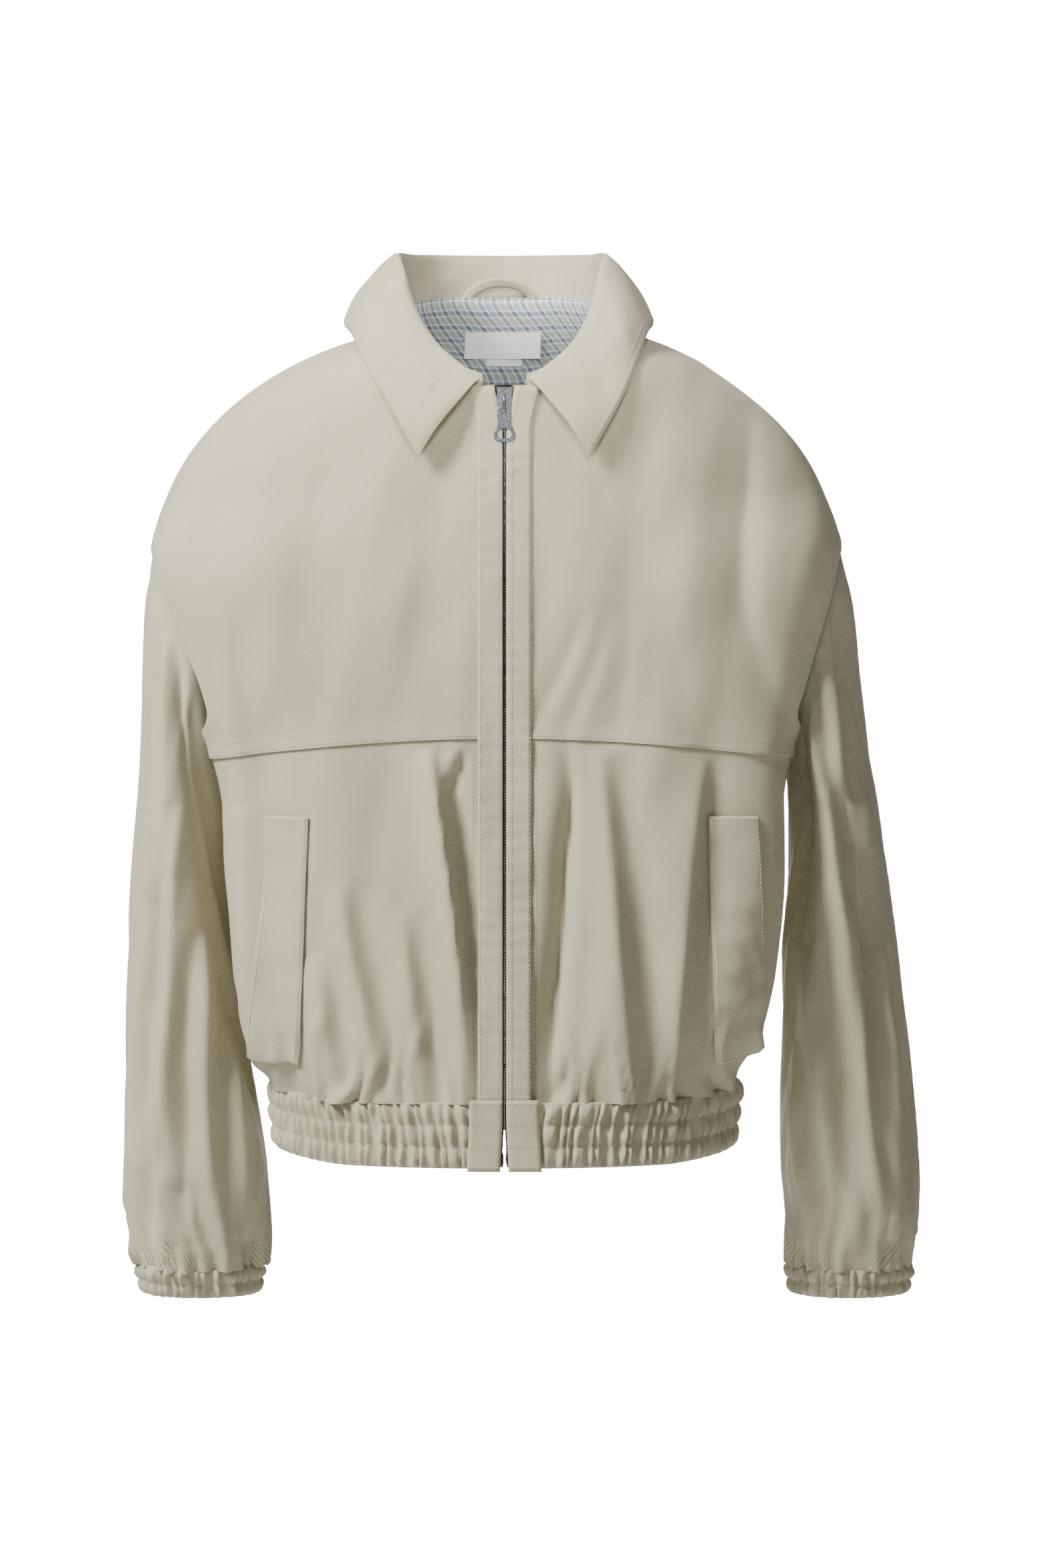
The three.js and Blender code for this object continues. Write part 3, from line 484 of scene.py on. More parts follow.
def even_angles(angles, levels, columns):
    """Angles that set points at even distances round the form, one row for each level."""
    share = np.linspace(0, 1, 500)
    share = share - 0.9 * np.sin(4 * PI * share) / (4 * PI)
    fine = angles[0] + (angles[1] - angles[0]) * share
    rows = []
    for level in levels:
        ring = body_point(fine, level + 0 * fine)
        run = np.concatenate([[0], np.cumsum(np.linalg.norm(np.diff(ring, axis=0), axis=-1) + 1e-6)])
        rows.append(np.interp(np.linspace(0, run[-1], columns), run, fine))
    return np.array(rows)


def body_panel(name, angles, levels, step, inset, thickness, keep, folds, materials, lift=None):
    """Cloth over the body's form, cut to shape by the fields in keep."""
    columns = max(int(abs(angles[1] - angles[0]) * 150 / step), 8)
    rows = max(int(abs(levels[1] - levels[0]) / step), 3)
    _, b = np.meshgrid(np.zeros(columns), np.linspace(*levels, rows))
    a = even_angles(angles, b[:, 0], columns)
    flat = body_point(a, b)
    u, v = lengths(flat)
    middle = u[:, :1] if abs(angles[0] - 1.5 * PI) < 0.1 else u[:, -1:]
    turn = 1 if angles[1] > angles[0] else -1
    fall = np.broadcast_to(v[:, v.shape[1] // 2:][:, :1], u.shape)
    values = np.stack([a, b, (u - middle) * turn, fall], -1).reshape(-1, 4)
    faces = net(rows, columns)
    for field in keep:
        values, faces = clip(values, faces, field(body_point(values[:, 0], values[:, 1])))
    flat, _ = body_facing(values[:, 0], values[:, 1])
    here, normal = body_facing(values[:, 0], values[:, 1], inset)
    off = folds(flat[:, 0], flat[:, 2]) * by_side_seam(values[:, 0])
    if lift is not None:
        off = off + lift(flat)
    drop = (near_hem(flat) * hem_rise(flat[:, 1]))[:, None] * [0, 0, 1]
    outer = here + normal * off[:, None] + drop
    inner = here + normal * (off - thickness)[:, None] + drop
    return thick(name, outer, inner, faces, values[:, 2:], materials)


def beneath(folds):
    """The lowest the cloth comes near a place, which the lining keeps under."""
    def low(x, z):
        return np.minimum.reduce([folds(x + shift, z) for shift in (-8.0, -4.0, 0.0, 4.0, 8.0)])

    return low


def by_side_seam(angle):
    """Folds die away where front and back are sewn together."""
    return soft_step(np.abs(np.sin(angle)), 0.02, 0.3)


def near_hem(flat):
    return soft_step(-flat[..., 2], 380, 530)


def on_front(x, z, lift, folds_share=1.0):
    """A place on the front cloth at x and z, raised by lift."""
    x, z = np.broadcast_arrays(np.asarray(x, float), np.asarray(z, float))
    angle, level = body_place(x, z)
    here, normal = body_facing(angle, level)
    off = front_folds(x, z) * folds_share * by_side_seam(angle) + lift
    point = here + normal * off[..., None]
    point[..., 2] += near_hem(here) * hem_rise(here[..., 1])
    return point


def on_back(x, z, lift):
    x, z = np.broadcast_arrays(np.asarray(x, float), np.asarray(z, float))
    angle, level = body_place(x, z, True)
    here, normal = body_facing(angle, level)
    off = back_folds(x, z) * by_side_seam(angle) + lift
    point = here + normal * off[..., None]
    point[..., 2] += near_hem(here) * hem_rise(here[..., 1])
    return point


def patch(name, point_of, u_range, v_range, step, thickness, materials, edge=0.0):
    """A strip of cloth over a form given by point_of(u, v, lift), with softly rounded edges."""
    columns = max(int((u_range[1] - u_range[0]) / step) + 1, 4)
    rows = max(int(abs(v_range[1] - v_range[0]) / step) + 1, 4)
    u, v = np.meshgrid(np.linspace(*u_range, columns), np.linspace(*v_range, rows))
    share_u = np.minimum(u - u_range[0], u_range[1] - u)
    share_v = np.minimum(np.abs(v - v_range[0]), np.abs(v_range[1] - v))
    near = np.clip(np.minimum(share_u, share_v) / max(edge, 1e-6), 0, 1) if edge else np.ones(u.shape)
    swell = thickness * (0.35 + 0.65 * np.sqrt(1 - (1 - near) ** 2))
    outer, inner = point_of(u, v, swell), point_of(u, v, 0 * u)
    uv = np.stack([u, v], -1).reshape(-1, 2)
    return thick(name, outer.reshape(-1, 3), inner.reshape(-1, 3), net(rows, columns), uv, materials)


# ------------------------------------------------------------------ materials

class Value:
    """A shader socket that takes part in ordinary arithmetic."""

    def __init__(self, tree, out):
        self.tree, self.out = tree, out

    def _sum(self, kind, *others, first=None):
        node = self.tree.nodes.new("ShaderNodeMath")
        node.operation = kind
        items = [self if first is None else first] + list(others)
        for slot, item in zip(node.inputs, items):
            if isinstance(item, Value):
                self.tree.links.new(item.out, slot)
            else:
                slot.default_value = item
        return Value(self.tree, node.outputs[0])

    def __add__(self, other):
        return self._sum("ADD", other)

    def __mul__(self, other):
        return self._sum("MULTIPLY", other)

    def __sub__(self, other):
        return self._sum("SUBTRACT", other)

    def __rsub__(self, other):
        return self._sum("SUBTRACT", self, first=other)

    def __truediv__(self, other):
        return self._sum("DIVIDE", other)

    __radd__ = __add__
    __rmul__ = __mul__

    def wave(self):
        return self._sum("SINE")

    def absolute(self):
        return self._sum("ABSOLUTE")

    def fraction(self):
        return self._sum("FRACT")

    def ramp(self, low, high):
        node = self.tree.nodes.new("ShaderNodeMapRange")
        node.interpolation_type = "SMOOTHSTEP"
        self.tree.links.new(self.out, node.inputs["Value"])
        node.inputs["From Min"].default_value = low
        node.inputs["From Max"].default_value = high
        return Value(self.tree, node.outputs["Result"])


class Finish:
    """A material built up from procedural parts."""

    def __init__(self, name, roughness=0.9, metallic=0.0):
        self.material = bpy.data.materials.new(name)
        self.material.use_nodes = True
        self.tree = self.material.node_tree
        self.shader = self.tree.nodes["Principled BSDF"]
        self.shader.inputs["Roughness"].default_value = roughness
        self.shader.inputs["Metallic"].default_value = metallic

    def node(self, kind, settings=(), **sockets):
        node = self.tree.nodes.new(kind)
        for key, value in dict(settings).items():
            setattr(node, key, value)
        for key, value in sockets.items():
            slot = node.inputs[key.replace("_", " ")]
            if isinstance(value, Value):
                self.tree.links.new(value.out, slot)
            else:
                slot.default_value = value
        return node

    def value(self, node, name):
        return Value(self.tree, node.outputs[name])

    def cloth_place(self):
        """The two coordinates along the cloth, in millimetres."""
        uv = self.node("ShaderNodeUVMap")
        parts = self.node("ShaderNodeSeparateXYZ", Vector=self.value(uv, "UV"))
        return self.value(parts, "X") * 1000.0, self.value(parts, "Y") * 1000.0

    def noise(self, scale, detail=3.0, rough=0.55):
        place = self.node("ShaderNodeTexCoord")
        node = self.node("ShaderNodeTexNoise", Vector=self.value(place, "Object"),
                         Scale=scale, Detail=detail, Roughness=rough)
        return self.value(node, "Fac")

    def mix(self, factor, a, b, kind="MIX"):
        node = self.tree.nodes.new("ShaderNodeMix")
        node.data_type = "RGBA"
        node.blend_type = kind
        node.clamp_factor = True
        for slot, item in zip((node.inputs[0], node.inputs[6], node.inputs[7]), (factor, a, b)):
            if isinstance(item, Value):
                self.tree.links.new(item.out, slot)
            elif slot.type == "RGBA":
                slot.default_value = (*item, 1.0)
            else:
                slot.default_value = item
        return Value(self.tree, node.outputs[2])

    def colour(self, value):
        if isinstance(value, Value):
            self.tree.links.new(value.out, self.shader.inputs["Base Color"])
        else:
            self.shader.inputs["Base Color"].default_value = (*value, 1.0)

    def rough(self, value):
        self.tree.links.new(value.out, self.shader.inputs["Roughness"])

    def bump(self, height, strength, distance):
        node = self.node("ShaderNodeBump", Height=height, Strength=strength, Distance=distance)
        self.tree.links.new(node.outputs["Normal"], self.shader.inputs["Normal"])


def tone(*levels):
    """A linear colour from screen levels of 0 to 255."""
    shares = [level / 255 for level in levels]
    return tuple(v / 12.92 if v <= 0.04045 else ((v + 0.055) / 1.055) ** 2.4 for v in shares)


def twill(name, light, dark, slope=1.0):
    finish = Finish(name, roughness=0.92)
    finish.shader.inputs["Sheen Weight"].default_value = 0.12
    finish.shader.inputs["Sheen Roughness"].default_value = 0.5
    finish.shader.inputs["Specular IOR Level"].default_value = 0.25
    u, v = finish.cloth_place()
    wobble = finish.noise(160.0, 2.0) * 1.3
    rib = ((u * slope + v * 1.25 + wobble) * (2 * PI / 1.75)).wave() * 0.5 + 0.5
    thread = ((v * 1.9 - u * slope * 1.1) * (2 * PI / 1.7)).wave() * 0.5 + 0.5
    slub = finish.noise(620.0, 4.0, 0.7)
    broad = finish.noise(9.0, 3.0)
    weave = rib * 0.62 + thread * 0.16 + slub * 0.5
    base = finish.mix(weave.ramp(0.15, 1.1), dark, light)
    base = finish.mix(broad.ramp(0.3, 0.75) * 0.22, base, tuple(c * 0.84 for c in light))
    finish.colour(base)
    finish.bump(weave, 0.55, 0.0004)
    return finish.material


def check_cloth(name):
    """Yarn-dyed check: grey-green ground, navy bands edged with white, about 10 mm apart."""
    finish = Finish(name, roughness=0.85)
    finish.shader.inputs["Specular IOR Level"].default_value = 0.25
    u, v = finish.cloth_place()
    u = u + finish.noise(22.0, 1.0) * 1.6
    v = v + finish.noise(17.0, 1.0) * 1.6

    def bands(place, pitch):
        away = ((place / pitch).fraction() - 0.5).absolute() * pitch
        navy = 1.0 - away.ramp(1.1, 1.7)
        white = away.ramp(1.6, 2.0) * (1.0 - away.ramp(2.7, 3.2))
        return navy, white

    ground = tone(158, 165, 156)
    navy_u, white_u = bands(u, 10.4)
    navy_v, white_v = bands(v, 11.2)
    warp = finish.mix(navy_u * 0.85, finish.mix(white_u, ground, tone(236, 239, 243)), tone(74, 84, 116))
    pale = finish.mix(white_v * 0.75, ground, tone(226, 231, 236))
    weft = finish.mix(navy_v * 0.8, pale, tone(88, 98, 124))
    pick = ((u * (2 * PI / 0.7)).wave() * (v * (2 * PI / 0.7)).wave()) * 0.12 + 0.5
    cloth = finish.mix(pick, warp, weft)
    cloth = finish.mix(finish.noise(500.0, 3.0).ramp(0.3, 0.8) * 0.15, cloth, tone(120, 124, 126))
    finish.colour(cloth)
    finish.bump(pick, 0.25, 0.0003)
    return finish.material


def speckled(name, light, dark, scale, roughness, metallic=0.0, strength=0.2, distance=0.0002):
    finish = Finish(name, roughness=roughness, metallic=metallic)
    grain = finish.noise(scale, 4.0, 0.6)
    finish.colour(finish.mix(grain.ramp(0.3, 0.7), dark, light))
    finish.rough(grain * 0.18 + (roughness - 0.09))
    finish.bump(grain, strength, distance)
    return finish.material


def rib_cloth(name, light, dark, pitch, across=False):
    """Woven tape, elastic or label, ribbed along one way."""
    finish = Finish(name, roughness=0.85)
    u, v = finish.cloth_place()
    rib = ((v if across else u) * (2 * PI / pitch)).wave() * 0.5 + 0.5
    grain = finish.noise(700.0, 3.0)
    weave = rib * 0.6 + grain * 0.5
    finish.colour(finish.mix(weave.ramp(0.1, 1.0), dark, light))
    finish.bump(weave, 0.4, 0.0002)
    return finish.material


TWILL = twill("twill", tone(193, 187, 160), tone(148, 142, 115))
CHECK = check_cloth("check_lining")
LABEL = rib_cloth("label_satin", tone(250, 250, 250), tone(238, 238, 238), 0.5, True)
TAPE = rib_cloth("zip_tape_web", tone(96, 92, 80), tone(60, 58, 50), 0.9, True)
COIL = speckled("zip_teeth_black", tone(52, 50, 48), tone(34, 33, 32), 900.0, 0.45, 0.2)
GUNMETAL = speckled("gunmetal", tone(122, 124, 128), tone(84, 86, 90), 520.0, 0.36, 0.85)
THREAD = speckled("thread", tone(206, 200, 174), tone(168, 161, 134), 1500.0, 0.8)


# ------------------------------------------------------------------ body cloth

def clear_of_neck(p):
    tilt = math.atan2(40, 159)
    y, z = p[:, 1] + 17.5, p[:, 2] + 16
    along = y * math.cos(tilt) + z * math.sin(tilt)
    above = z * math.cos(tilt) - y * math.sin(tilt)
    return np.maximum((p[:, 0] / 80) ** 2 + (along / 82) ** 2 - 1, (-30 - above) / 30)


def armhole_x(z, side=1):
    """The armhole seam seen from the front, a straight line that leans outwards."""
    shift = np.where(np.asarray(side) > 0, outline_right(z), outline_left(z))
    return 188 + 56 * (z + 300) / 145 + np.minimum(shift, 0)


def body_edge(z, side=1):
    """Where the body's cloth stops at the armhole; it runs out to the side seam under the arm."""
    return armhole_x(z, side) + 26 * soft_step(-np.asarray(z, float), 262, 302)


def inside_armhole(p):
    return np.where(p[:, 2] > -302, body_edge(p[:, 2], p[:, 0]) - np.abs(p[:, 0]), 40)


def yoke_line(x):
    return YOKE_Z + 3 - 16 * (np.abs(x) / 200) ** 2


def flare(z):
    """The two fronts part a little beside the open top of the zip and at the very hem."""
    return 5.5 * soft_step(z, -72, -38) + 1.5 * soft_step(-z, 540, 578)


def above_yoke_seam(p):
    return p[:, 2] - yoke_line(p[:, 0])


def below_yoke_seam(p):
    return yoke_line(p[:, 0]) + 7 - p[:, 2]


def above_hem_seam(p):
    return p[:, 2] - HEM_SEAM_Z + 1


def beside_placket(p):
    return np.abs(p[:, 0]) - 15


def above_back_seam(p):
    return p[:, 2] - BACK_YOKE_Z


def below_back_seam(p):
    return BACK_YOKE_Z + 6 - p[:, 2]


def clear_of_facing(p):
    return np.maximum(np.abs(p[:, 0]) - 56, -27 - p[:, 2])


def front_swell(p):
    """The yoke's folded edge stands up over the panel below it."""
    return 1.5 - 0.9 * soft_step(p[:, 2] - yoke_line(p[:, 0]), 1, 13)


def back_swell(p):
    return 1.4 - 0.9 * soft_step(p[:, 2] - BACK_YOKE_Z, 1, 13)


def bend_front(thing):
    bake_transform(thing)


def settle(thing, nodes):
    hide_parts(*nodes)
    return thing


STEP = 3.2
SHELL = 1.2
LINING = 0.8
LINING_INSET = 4.6
LINING_STEP = STEP * 1.7
BACK_STEP = STEP * 1.2
for side, label in SIDES:
    angles = (1.5 * PI, 2 * PI) if side > 0 else (1.5 * PI, PI)
    neck = [clear_of_neck, inside_armhole, beside_placket]
    yoke = body_panel(f"front_yoke_cloth_{label}", angles, (-198, 165), STEP, 0, SHELL,
                      neck + [above_yoke_seam], front_folds, [TWILL], front_swell)
    settle(yoke, [f"front_yoke_{label}", f"front_yoke_side_{label}"])
    panel_keep = [inside_armhole, beside_placket, below_yoke_seam, above_hem_seam]
    panel = body_panel(f"front_panel_cloth_{label}", angles, (110, 380), STEP, 0, SHELL,
                       panel_keep, front_folds, [TWILL])
    settle(panel, [f"front_panel_{label}", f"front_panel_side_{label}"])
    lining = body_panel(f"front_lining_cloth_{label}", angles, (-198, 372), LINING_STEP, LINING_INSET, LINING,
                        neck, beneath(front_folds), [CHECK])
    settle(lining, [f"front_lining_{label}"])
    for thing in (yoke, panel, lining):
        bend_front(thing)
back_keep = [clear_of_neck, inside_armhole]
back_yoke = body_panel("back_yoke_cloth", (0, PI), (-198, 8), BACK_STEP, 0, SHELL,
                       back_keep + [above_back_seam], back_folds, [TWILL], back_swell)
settle(back_yoke, ["back_yoke"])
back_panel = body_panel("back_panel_cloth", (0, PI), (-12, 380), BACK_STEP, 0, SHELL,
                        back_keep + [below_back_seam, above_hem_seam], back_folds, [TWILL])
settle(back_panel, ["back_panel"])
back_lining = body_panel("back_lining_cloth", (0, PI), (-198, 372), LINING_STEP, LINING_INSET, LINING,
                         back_keep + [clear_of_facing], beneath(back_folds), [CHECK])
settle(back_lining, ["back_lining"])
for thing in (back_yoke, back_panel, back_lining):
    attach(thing, "back")


# ------------------------------------------------------------------ hem band and cuffs

def ruched(run, down, height, channels, pitch, seed):
    """Pleats of a band drawn in by elastic, flattened where rows of stitches cross them."""
    shift = 0.34 * pitch * ripple(run / (2.4 * pitch), down / 130, seed)
    shift = shift + 0.10 * pitch * ripple(run / (1.4 * pitch), down / 30, seed + 1)
    ridge = (0.5 + 0.5 * np.cos(2 * PI * (run + shift) / pitch)) ** 0.85
    channel = np.abs(np.sin(PI * channels * np.clip(down / height, 0, 1)))
    tall = 1 + 0.3 * ripple(run / (1.7 * pitch), down / 40, seed + 2)
    return (5.6 * (ridge - 0.5) * tall) * (0.55 + 0.45 * channel) + 1.1 * channel ** 0.7


def band(name, place, run_of, a_range, height, channels, pitch, seed, count, closed=False):
    """A gathered band; place(a, down) gives points and normals of its form."""
    columns = count if closed else count + 1
    a = np.linspace(a_range[0], a_range[1], count + 1)[:columns]
    rows = int(height / (1.25)) + 1
    a, down = np.meshgrid(a, np.linspace(0, height, rows))
    here, normal = place(a, down)
    run = run_of(a)
    share = np.abs(2 * down / height - 1)
    body = 2.1 * np.sqrt(1 - np.clip(share, 0, 1) ** 7 * 0.85)
    wave = ruched(run, down, height, channels, pitch, seed) * (1 - 0.6 * share ** 12)
    outer = here + normal * (wave + body - 0.6)[..., None]
    inner = here + normal * (0.5 * wave - body - 1.4)[..., None]
    uv = np.stack([run * 1.35, -down], -1).reshape(-1, 2)
    return thick(name, outer.reshape(-1, 3), inner.reshape(-1, 3), net(rows, columns, closed), uv, [TWILL])


def hem_place(a, down):
    here, normal = body_facing(a, ARM_Z - (HEM_SEAM_Z - down))
    here[..., 2] += hem_rise(here[..., 1])
    return here, normal


def hem_run(a):
    fine = np.linspace(0, 2 * PI, 900)
    ring = body_point(fine, 0 * fine + 395)
    total = np.concatenate([[0], np.cumsum(np.linalg.norm(np.diff(ring, axis=0), axis=-1))])
    return np.interp(np.mod(a, 2 * PI + 1e-6), fine, total)


TAB_X = 22.0
HEM_HEIGHT = 45
HEM_CHANNELS = 3
HEM_PITCH = 7.3
CUFF_CHANNELS = 2
CUFF_PITCH = 6.4
CUFF_RADIUS = 36.5
quality = 1.0
for side, label in SIDES:
    start = float(body_place(np.array([side * TAB_X]), np.array([-552.0]))[0][0])
    a_range = (start, 2 * PI - 1e-3) if side > 0 else (start, PI)
    hem = band(f"hem_band_cloth_{label}", hem_place, hem_run, a_range,
               HEM_HEIGHT, HEM_CHANNELS, HEM_PITCH, 80 + side, int(170 * quality))
    settle(hem, [f"hem_band_{label}", f"hem_elastic_{label}"])
    bend_front(hem)
hem_back = band("hem_band_cloth_back", hem_place, hem_run, (0, PI),
                HEM_HEIGHT, HEM_CHANNELS, HEM_PITCH, 90, int(280 * quality))
settle(hem_back, ["hem_band_back", "hem_elastic_back"])
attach(hem_back, "back")


# ------------------------------------------------------------------ sleeves

SLEEVE_BEND = {
    1: ("sleeve_right", (0.246, 0.01, -0.155), (0.302, 0.01, -0.1766)),
    -1: ("sleeve_left", (-0.246, 0.01, -0.155), (-0.302, 0.01, -0.1766)),
}


def outside_armhole(p):
    return np.where(p[:, 2] > -302, np.abs(p[:, 0]) - armhole_x(p[:, 2], p[:, 0]) + 4.5, 40)


def sleeve_cloth(name, side, inset, thickness, levels, step, material):
    columns = int(300 / step)
    rows = int((levels[1] - levels[0]) / step)
    a, b = np.meshgrid(np.linspace(0, 2 * PI, columns + 1), np.linspace(*levels, rows))
    point = sleeve_point(side)
    flat = point(a, b)
    u, v = lengths(flat)
    values = np.stack([a, b, u, v], -1)
    welded = values[:, :-1]
    seam_uv = welded.reshape(-1, 4)
    faces = net(rows, columns, True)
    flat_list = point(seam_uv[:, 0], seam_uv[:, 1])
    field = outside_armhole(flat_list)
    cut_values, cut_faces = clip_ring(seam_uv, faces, field)
    angle, level = cut_values[:, 0], cut_values[:, 1]
    here, normal = sleeve_facing(side, angle, level, inset)
    z = -148 - level
    shifts = (-0.16, -0.08, 0.0, 0.08, 0.16) if inset else (0.0,)
    off = np.minimum.reduce([sleeve_folds(side, angle + shift, z) for shift in shifts])
    near = np.abs(point(angle, level)[:, 0]) - np.where(z > -302, armhole_x(z, side), 0)
    under_body = 1 - soft_step(near, -4.5, 1.5)
    beside_seam = 1 - soft_step(near, 2, 20)
    off = off * soft_step(near, 0, 16) - 2.7 * under_body - 1.8 * beside_seam
    outer = here + normal * off[:, None]
    inner = here + normal * (off - thickness)[:, None]
    return thick(name, outer, inner, cut_faces, cut_values[:, 2:], [material])


def clip_ring(values, faces, field):
    """As clip, for a tube: the angle is carried as its cosine and sine so that the join stays closed."""
    packed = np.column_stack([np.cos(values[:, 0]), np.sin(values[:, 0]), values[:, 1:]])
    packed, faces = clip(packed, faces, field)
    angle = np.mod(np.arctan2(packed[:, 1], packed[:, 0]), 2 * PI)
    return np.column_stack([angle, packed[:, 2:]]), faces


for side, label in SIDES:
    body, start, end = SLEEVE_BEND[side]
    sleeve = sleeve_cloth(f"sleeve_cloth_{label}", side, 0, 1.2, (0, 511), STEP, TWILL)
    settle(sleeve, [f"sleeve_{label}"])
    inside = sleeve_cloth(f"sleeve_lining_cloth_{label}", side, 3.4, 0.8, (6, 505), STEP * 1.8, CHECK)
    settle(inside, [f"sleeve_lining_{label}"])
    for thing in (sleeve, inside):
        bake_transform(thing)

    def cuff_place(a, down, side=side):
        return sleeve_facing(side, a, 510 + down, 1.5)

    cuff = band(f"cuff_cloth_{label}", cuff_place, lambda a: a * CUFF_RADIUS, (0, 2 * PI),
                CUFF_HEIGHT, CUFF_CHANNELS, CUFF_PITCH, 100 + side, int(190 * quality), True)
    settle(cuff, [f"cuff_{label}", f"cuff_elastic_{label}"])
    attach(cuff, body)


# ------------------------------------------------------------------ collar

COLLAR_LIFT = 1.0
SEAM_LIFT = 8.0
ROLL_LINE = [
    (17, -102, -35), (45, -84, -12), (60, -64, 11), (70, -38, 40),
    (73, -6, 50), (63, 30, 50), (36, 59, 50), (0, 69, 50),
]
LEAF_EDGE = [
    (58, -106, -89), (76, -101, -58), (92, -88, -30), (105, -52, -6),
    (111, -6, 1), (98, 52, -2), (60, 90, -8), (0, 103, -10),
]


def roll_at(share):
    point = rounded_line(ROLL_LINE, share)
    point[..., 2] += COLLAR_LIFT * soft_step(share, 0.3, 0.62)
    return point


def leaf_at(share, drop, lift, side):
    roll, edge = roll_at(share), rounded_line(LEAF_EDGE, share)
    point = roll + (edge - roll) * drop[..., None]
    along = roll_at(np.minimum(share + 0.004, 1)) - roll_at(np.maximum(share - 0.004, 0))
    normal = np.cross(along, edge - roll)
    normal /= np.linalg.norm(normal, axis=-1, keepdims=True)
    normal = normal * np.where(normal[..., 2:] < 0, -1, 1)
    wrinkle = ripple(share * 5 * side, drop * 1.6, 120) * np.sin(PI * np.clip(drop, 0, 1)) ** 0.5
    soft = 5.5 * np.sin(PI * drop) ** 0.8 + 0.9 * wrinkle
    turn = 2.0 * soft_step(share, 0.35, 0.0) * drop ** 2
    point = point + normal * (soft + turn + lift)[..., None]
    point[..., 0] *= side * narrower(share, side)
    return point


def narrower(share, side):
    """The right half of the collar sits a little closer in than the left."""
    return 1 - 0.075 * soft_step(share, 0.12, 0.5) if side > 0 else 1.0


def neck_at(share, inset):
    angle = np.radians(14 + 166 * share ** 1.17)
    y = -17.5 - (79.5 - inset) * np.cos(angle)
    z = 4 + (y - 62) * (40 / 159) + 12 * np.sin(angle) ** 2 + SEAM_LIFT * soft_step(share, 0.5, 0.9)
    return np.stack([(80 - inset) * np.sin(angle), y, z], -1)


def stand_at(share, height, lift, side):
    low, high = neck_at(share, 2.0), roll_at(share)
    low[..., 2] -= 3
    inward = np.array([0.0, -17.5, 0]) - high
    inward[..., 2] = 0
    inward /= np.linalg.norm(inward, axis=-1, keepdims=True)
    high = high + inward * 0.3
    high[..., 2] -= 0.2
    point = low + (high - low) * height[..., None]
    wave = 0.7 * ripple(share * 6 * side, height * 0.8, 131) * np.sin(PI * height) - 1.6 * np.sin(PI * height)
    point = point + inward * (lift - wave)[..., None]
    point[..., 0] *= side * narrower(share, side)
    return point


def shaped(name, place, rows, columns, uv_of, thickness, material, ends=(True, True)):
    """A cloth piece over place(a, b, lift) with a and b from 0 to 1 and softly rounded long edges."""
    a, b = np.meshgrid(np.linspace(0, 1, columns), np.linspace(0, 1, rows))
    middle = place(a, b, 0 * a)
    u, v = lengths(middle)
    whole_v = v[-1:]
    near = np.minimum(v if ends[0] else 1e3, whole_v - v)
    if ends[1]:
        near = np.minimum(near, np.minimum(u, 1e3))
    swell = 0.25 + 0.75 * np.sqrt(1 - (1 - np.clip(near / 2.4, 0, 1)) ** 2)
    outer, inner = place(a, b, thickness * swell), place(a, b, 0 * a)
    uv = uv_of(a, b, u, v).reshape(-1, 2)
    return thick(name, outer.reshape(-1, 3), inner.reshape(-1, 3), net(rows, columns), uv, [material])


def slanted(turn, side):
    def uv_of(a, b, u, v):
        cos, sin = math.cos(turn), math.sin(turn)
        return np.stack([side * (u * cos - v * sin), u * sin + v * cos], -1)

    return uv_of


for side, label in SIDES:
    leaf = shaped(f"collar_leaf_cloth_{label}", lambda a, b, lift, side=side: leaf_at(a, b, lift, side),
                  26, 90, slanted(0.7, side), 2.4, TWILL)
    settle(leaf, [f"collar_point_{label}", "collar_leaf"])
    stand = shaped(f"collar_stand_cloth_{label}",
                   lambda a, b, lift, side=side: stand_at(0.1 + 0.9 * a, b, lift, side),
                   20, 70, slanted(0, side), 1.5, TWILL, (False, False))
    settle(stand, [f"collar_stand_{label}", "collar_stand"])
    bend_front(leaf)
    bend_front(stand)


# ------------------------------------------------------------------ plackets, hem tabs and welts

def placket_place(side):
    def place(across, z, lift):
        x = side * (PLACKET_INNER + across + flare(z))
        raise_edge = 1.6 * (1 - soft_step(across, 0, 5)) * 0.4
        wave = 0.5 * ripple(z / 42, across / 60, 140 + side) + 0.25 * ripple(z / 16, across / 30, 142)
        return on_front(x, z, 1.6 + raise_edge + wave + lift, 0.75)

    return place


def tab_place(side):
    def place(across, z, lift):
        x = side * (PLACKET_INNER + across + flare(z))
        return on_front(x, z, 3.2 + lift, 0.5)

    return place


WELTS = {-1: (-153.0, 2.2, (-335, -507)), 1: (158.0, -1.2, (-335, -507))}


def welt_place(side):
    centre, lean, _ = WELTS[side]

    def place(across, z, lift):
        x = centre + across + math.tan(math.radians(lean)) * (z + 421)
        wave = 0.45 * ripple(z / 34, across / 34, 150 + side)
        return on_front(x, z, 1.3 + wave + lift, 0.9)

    return place


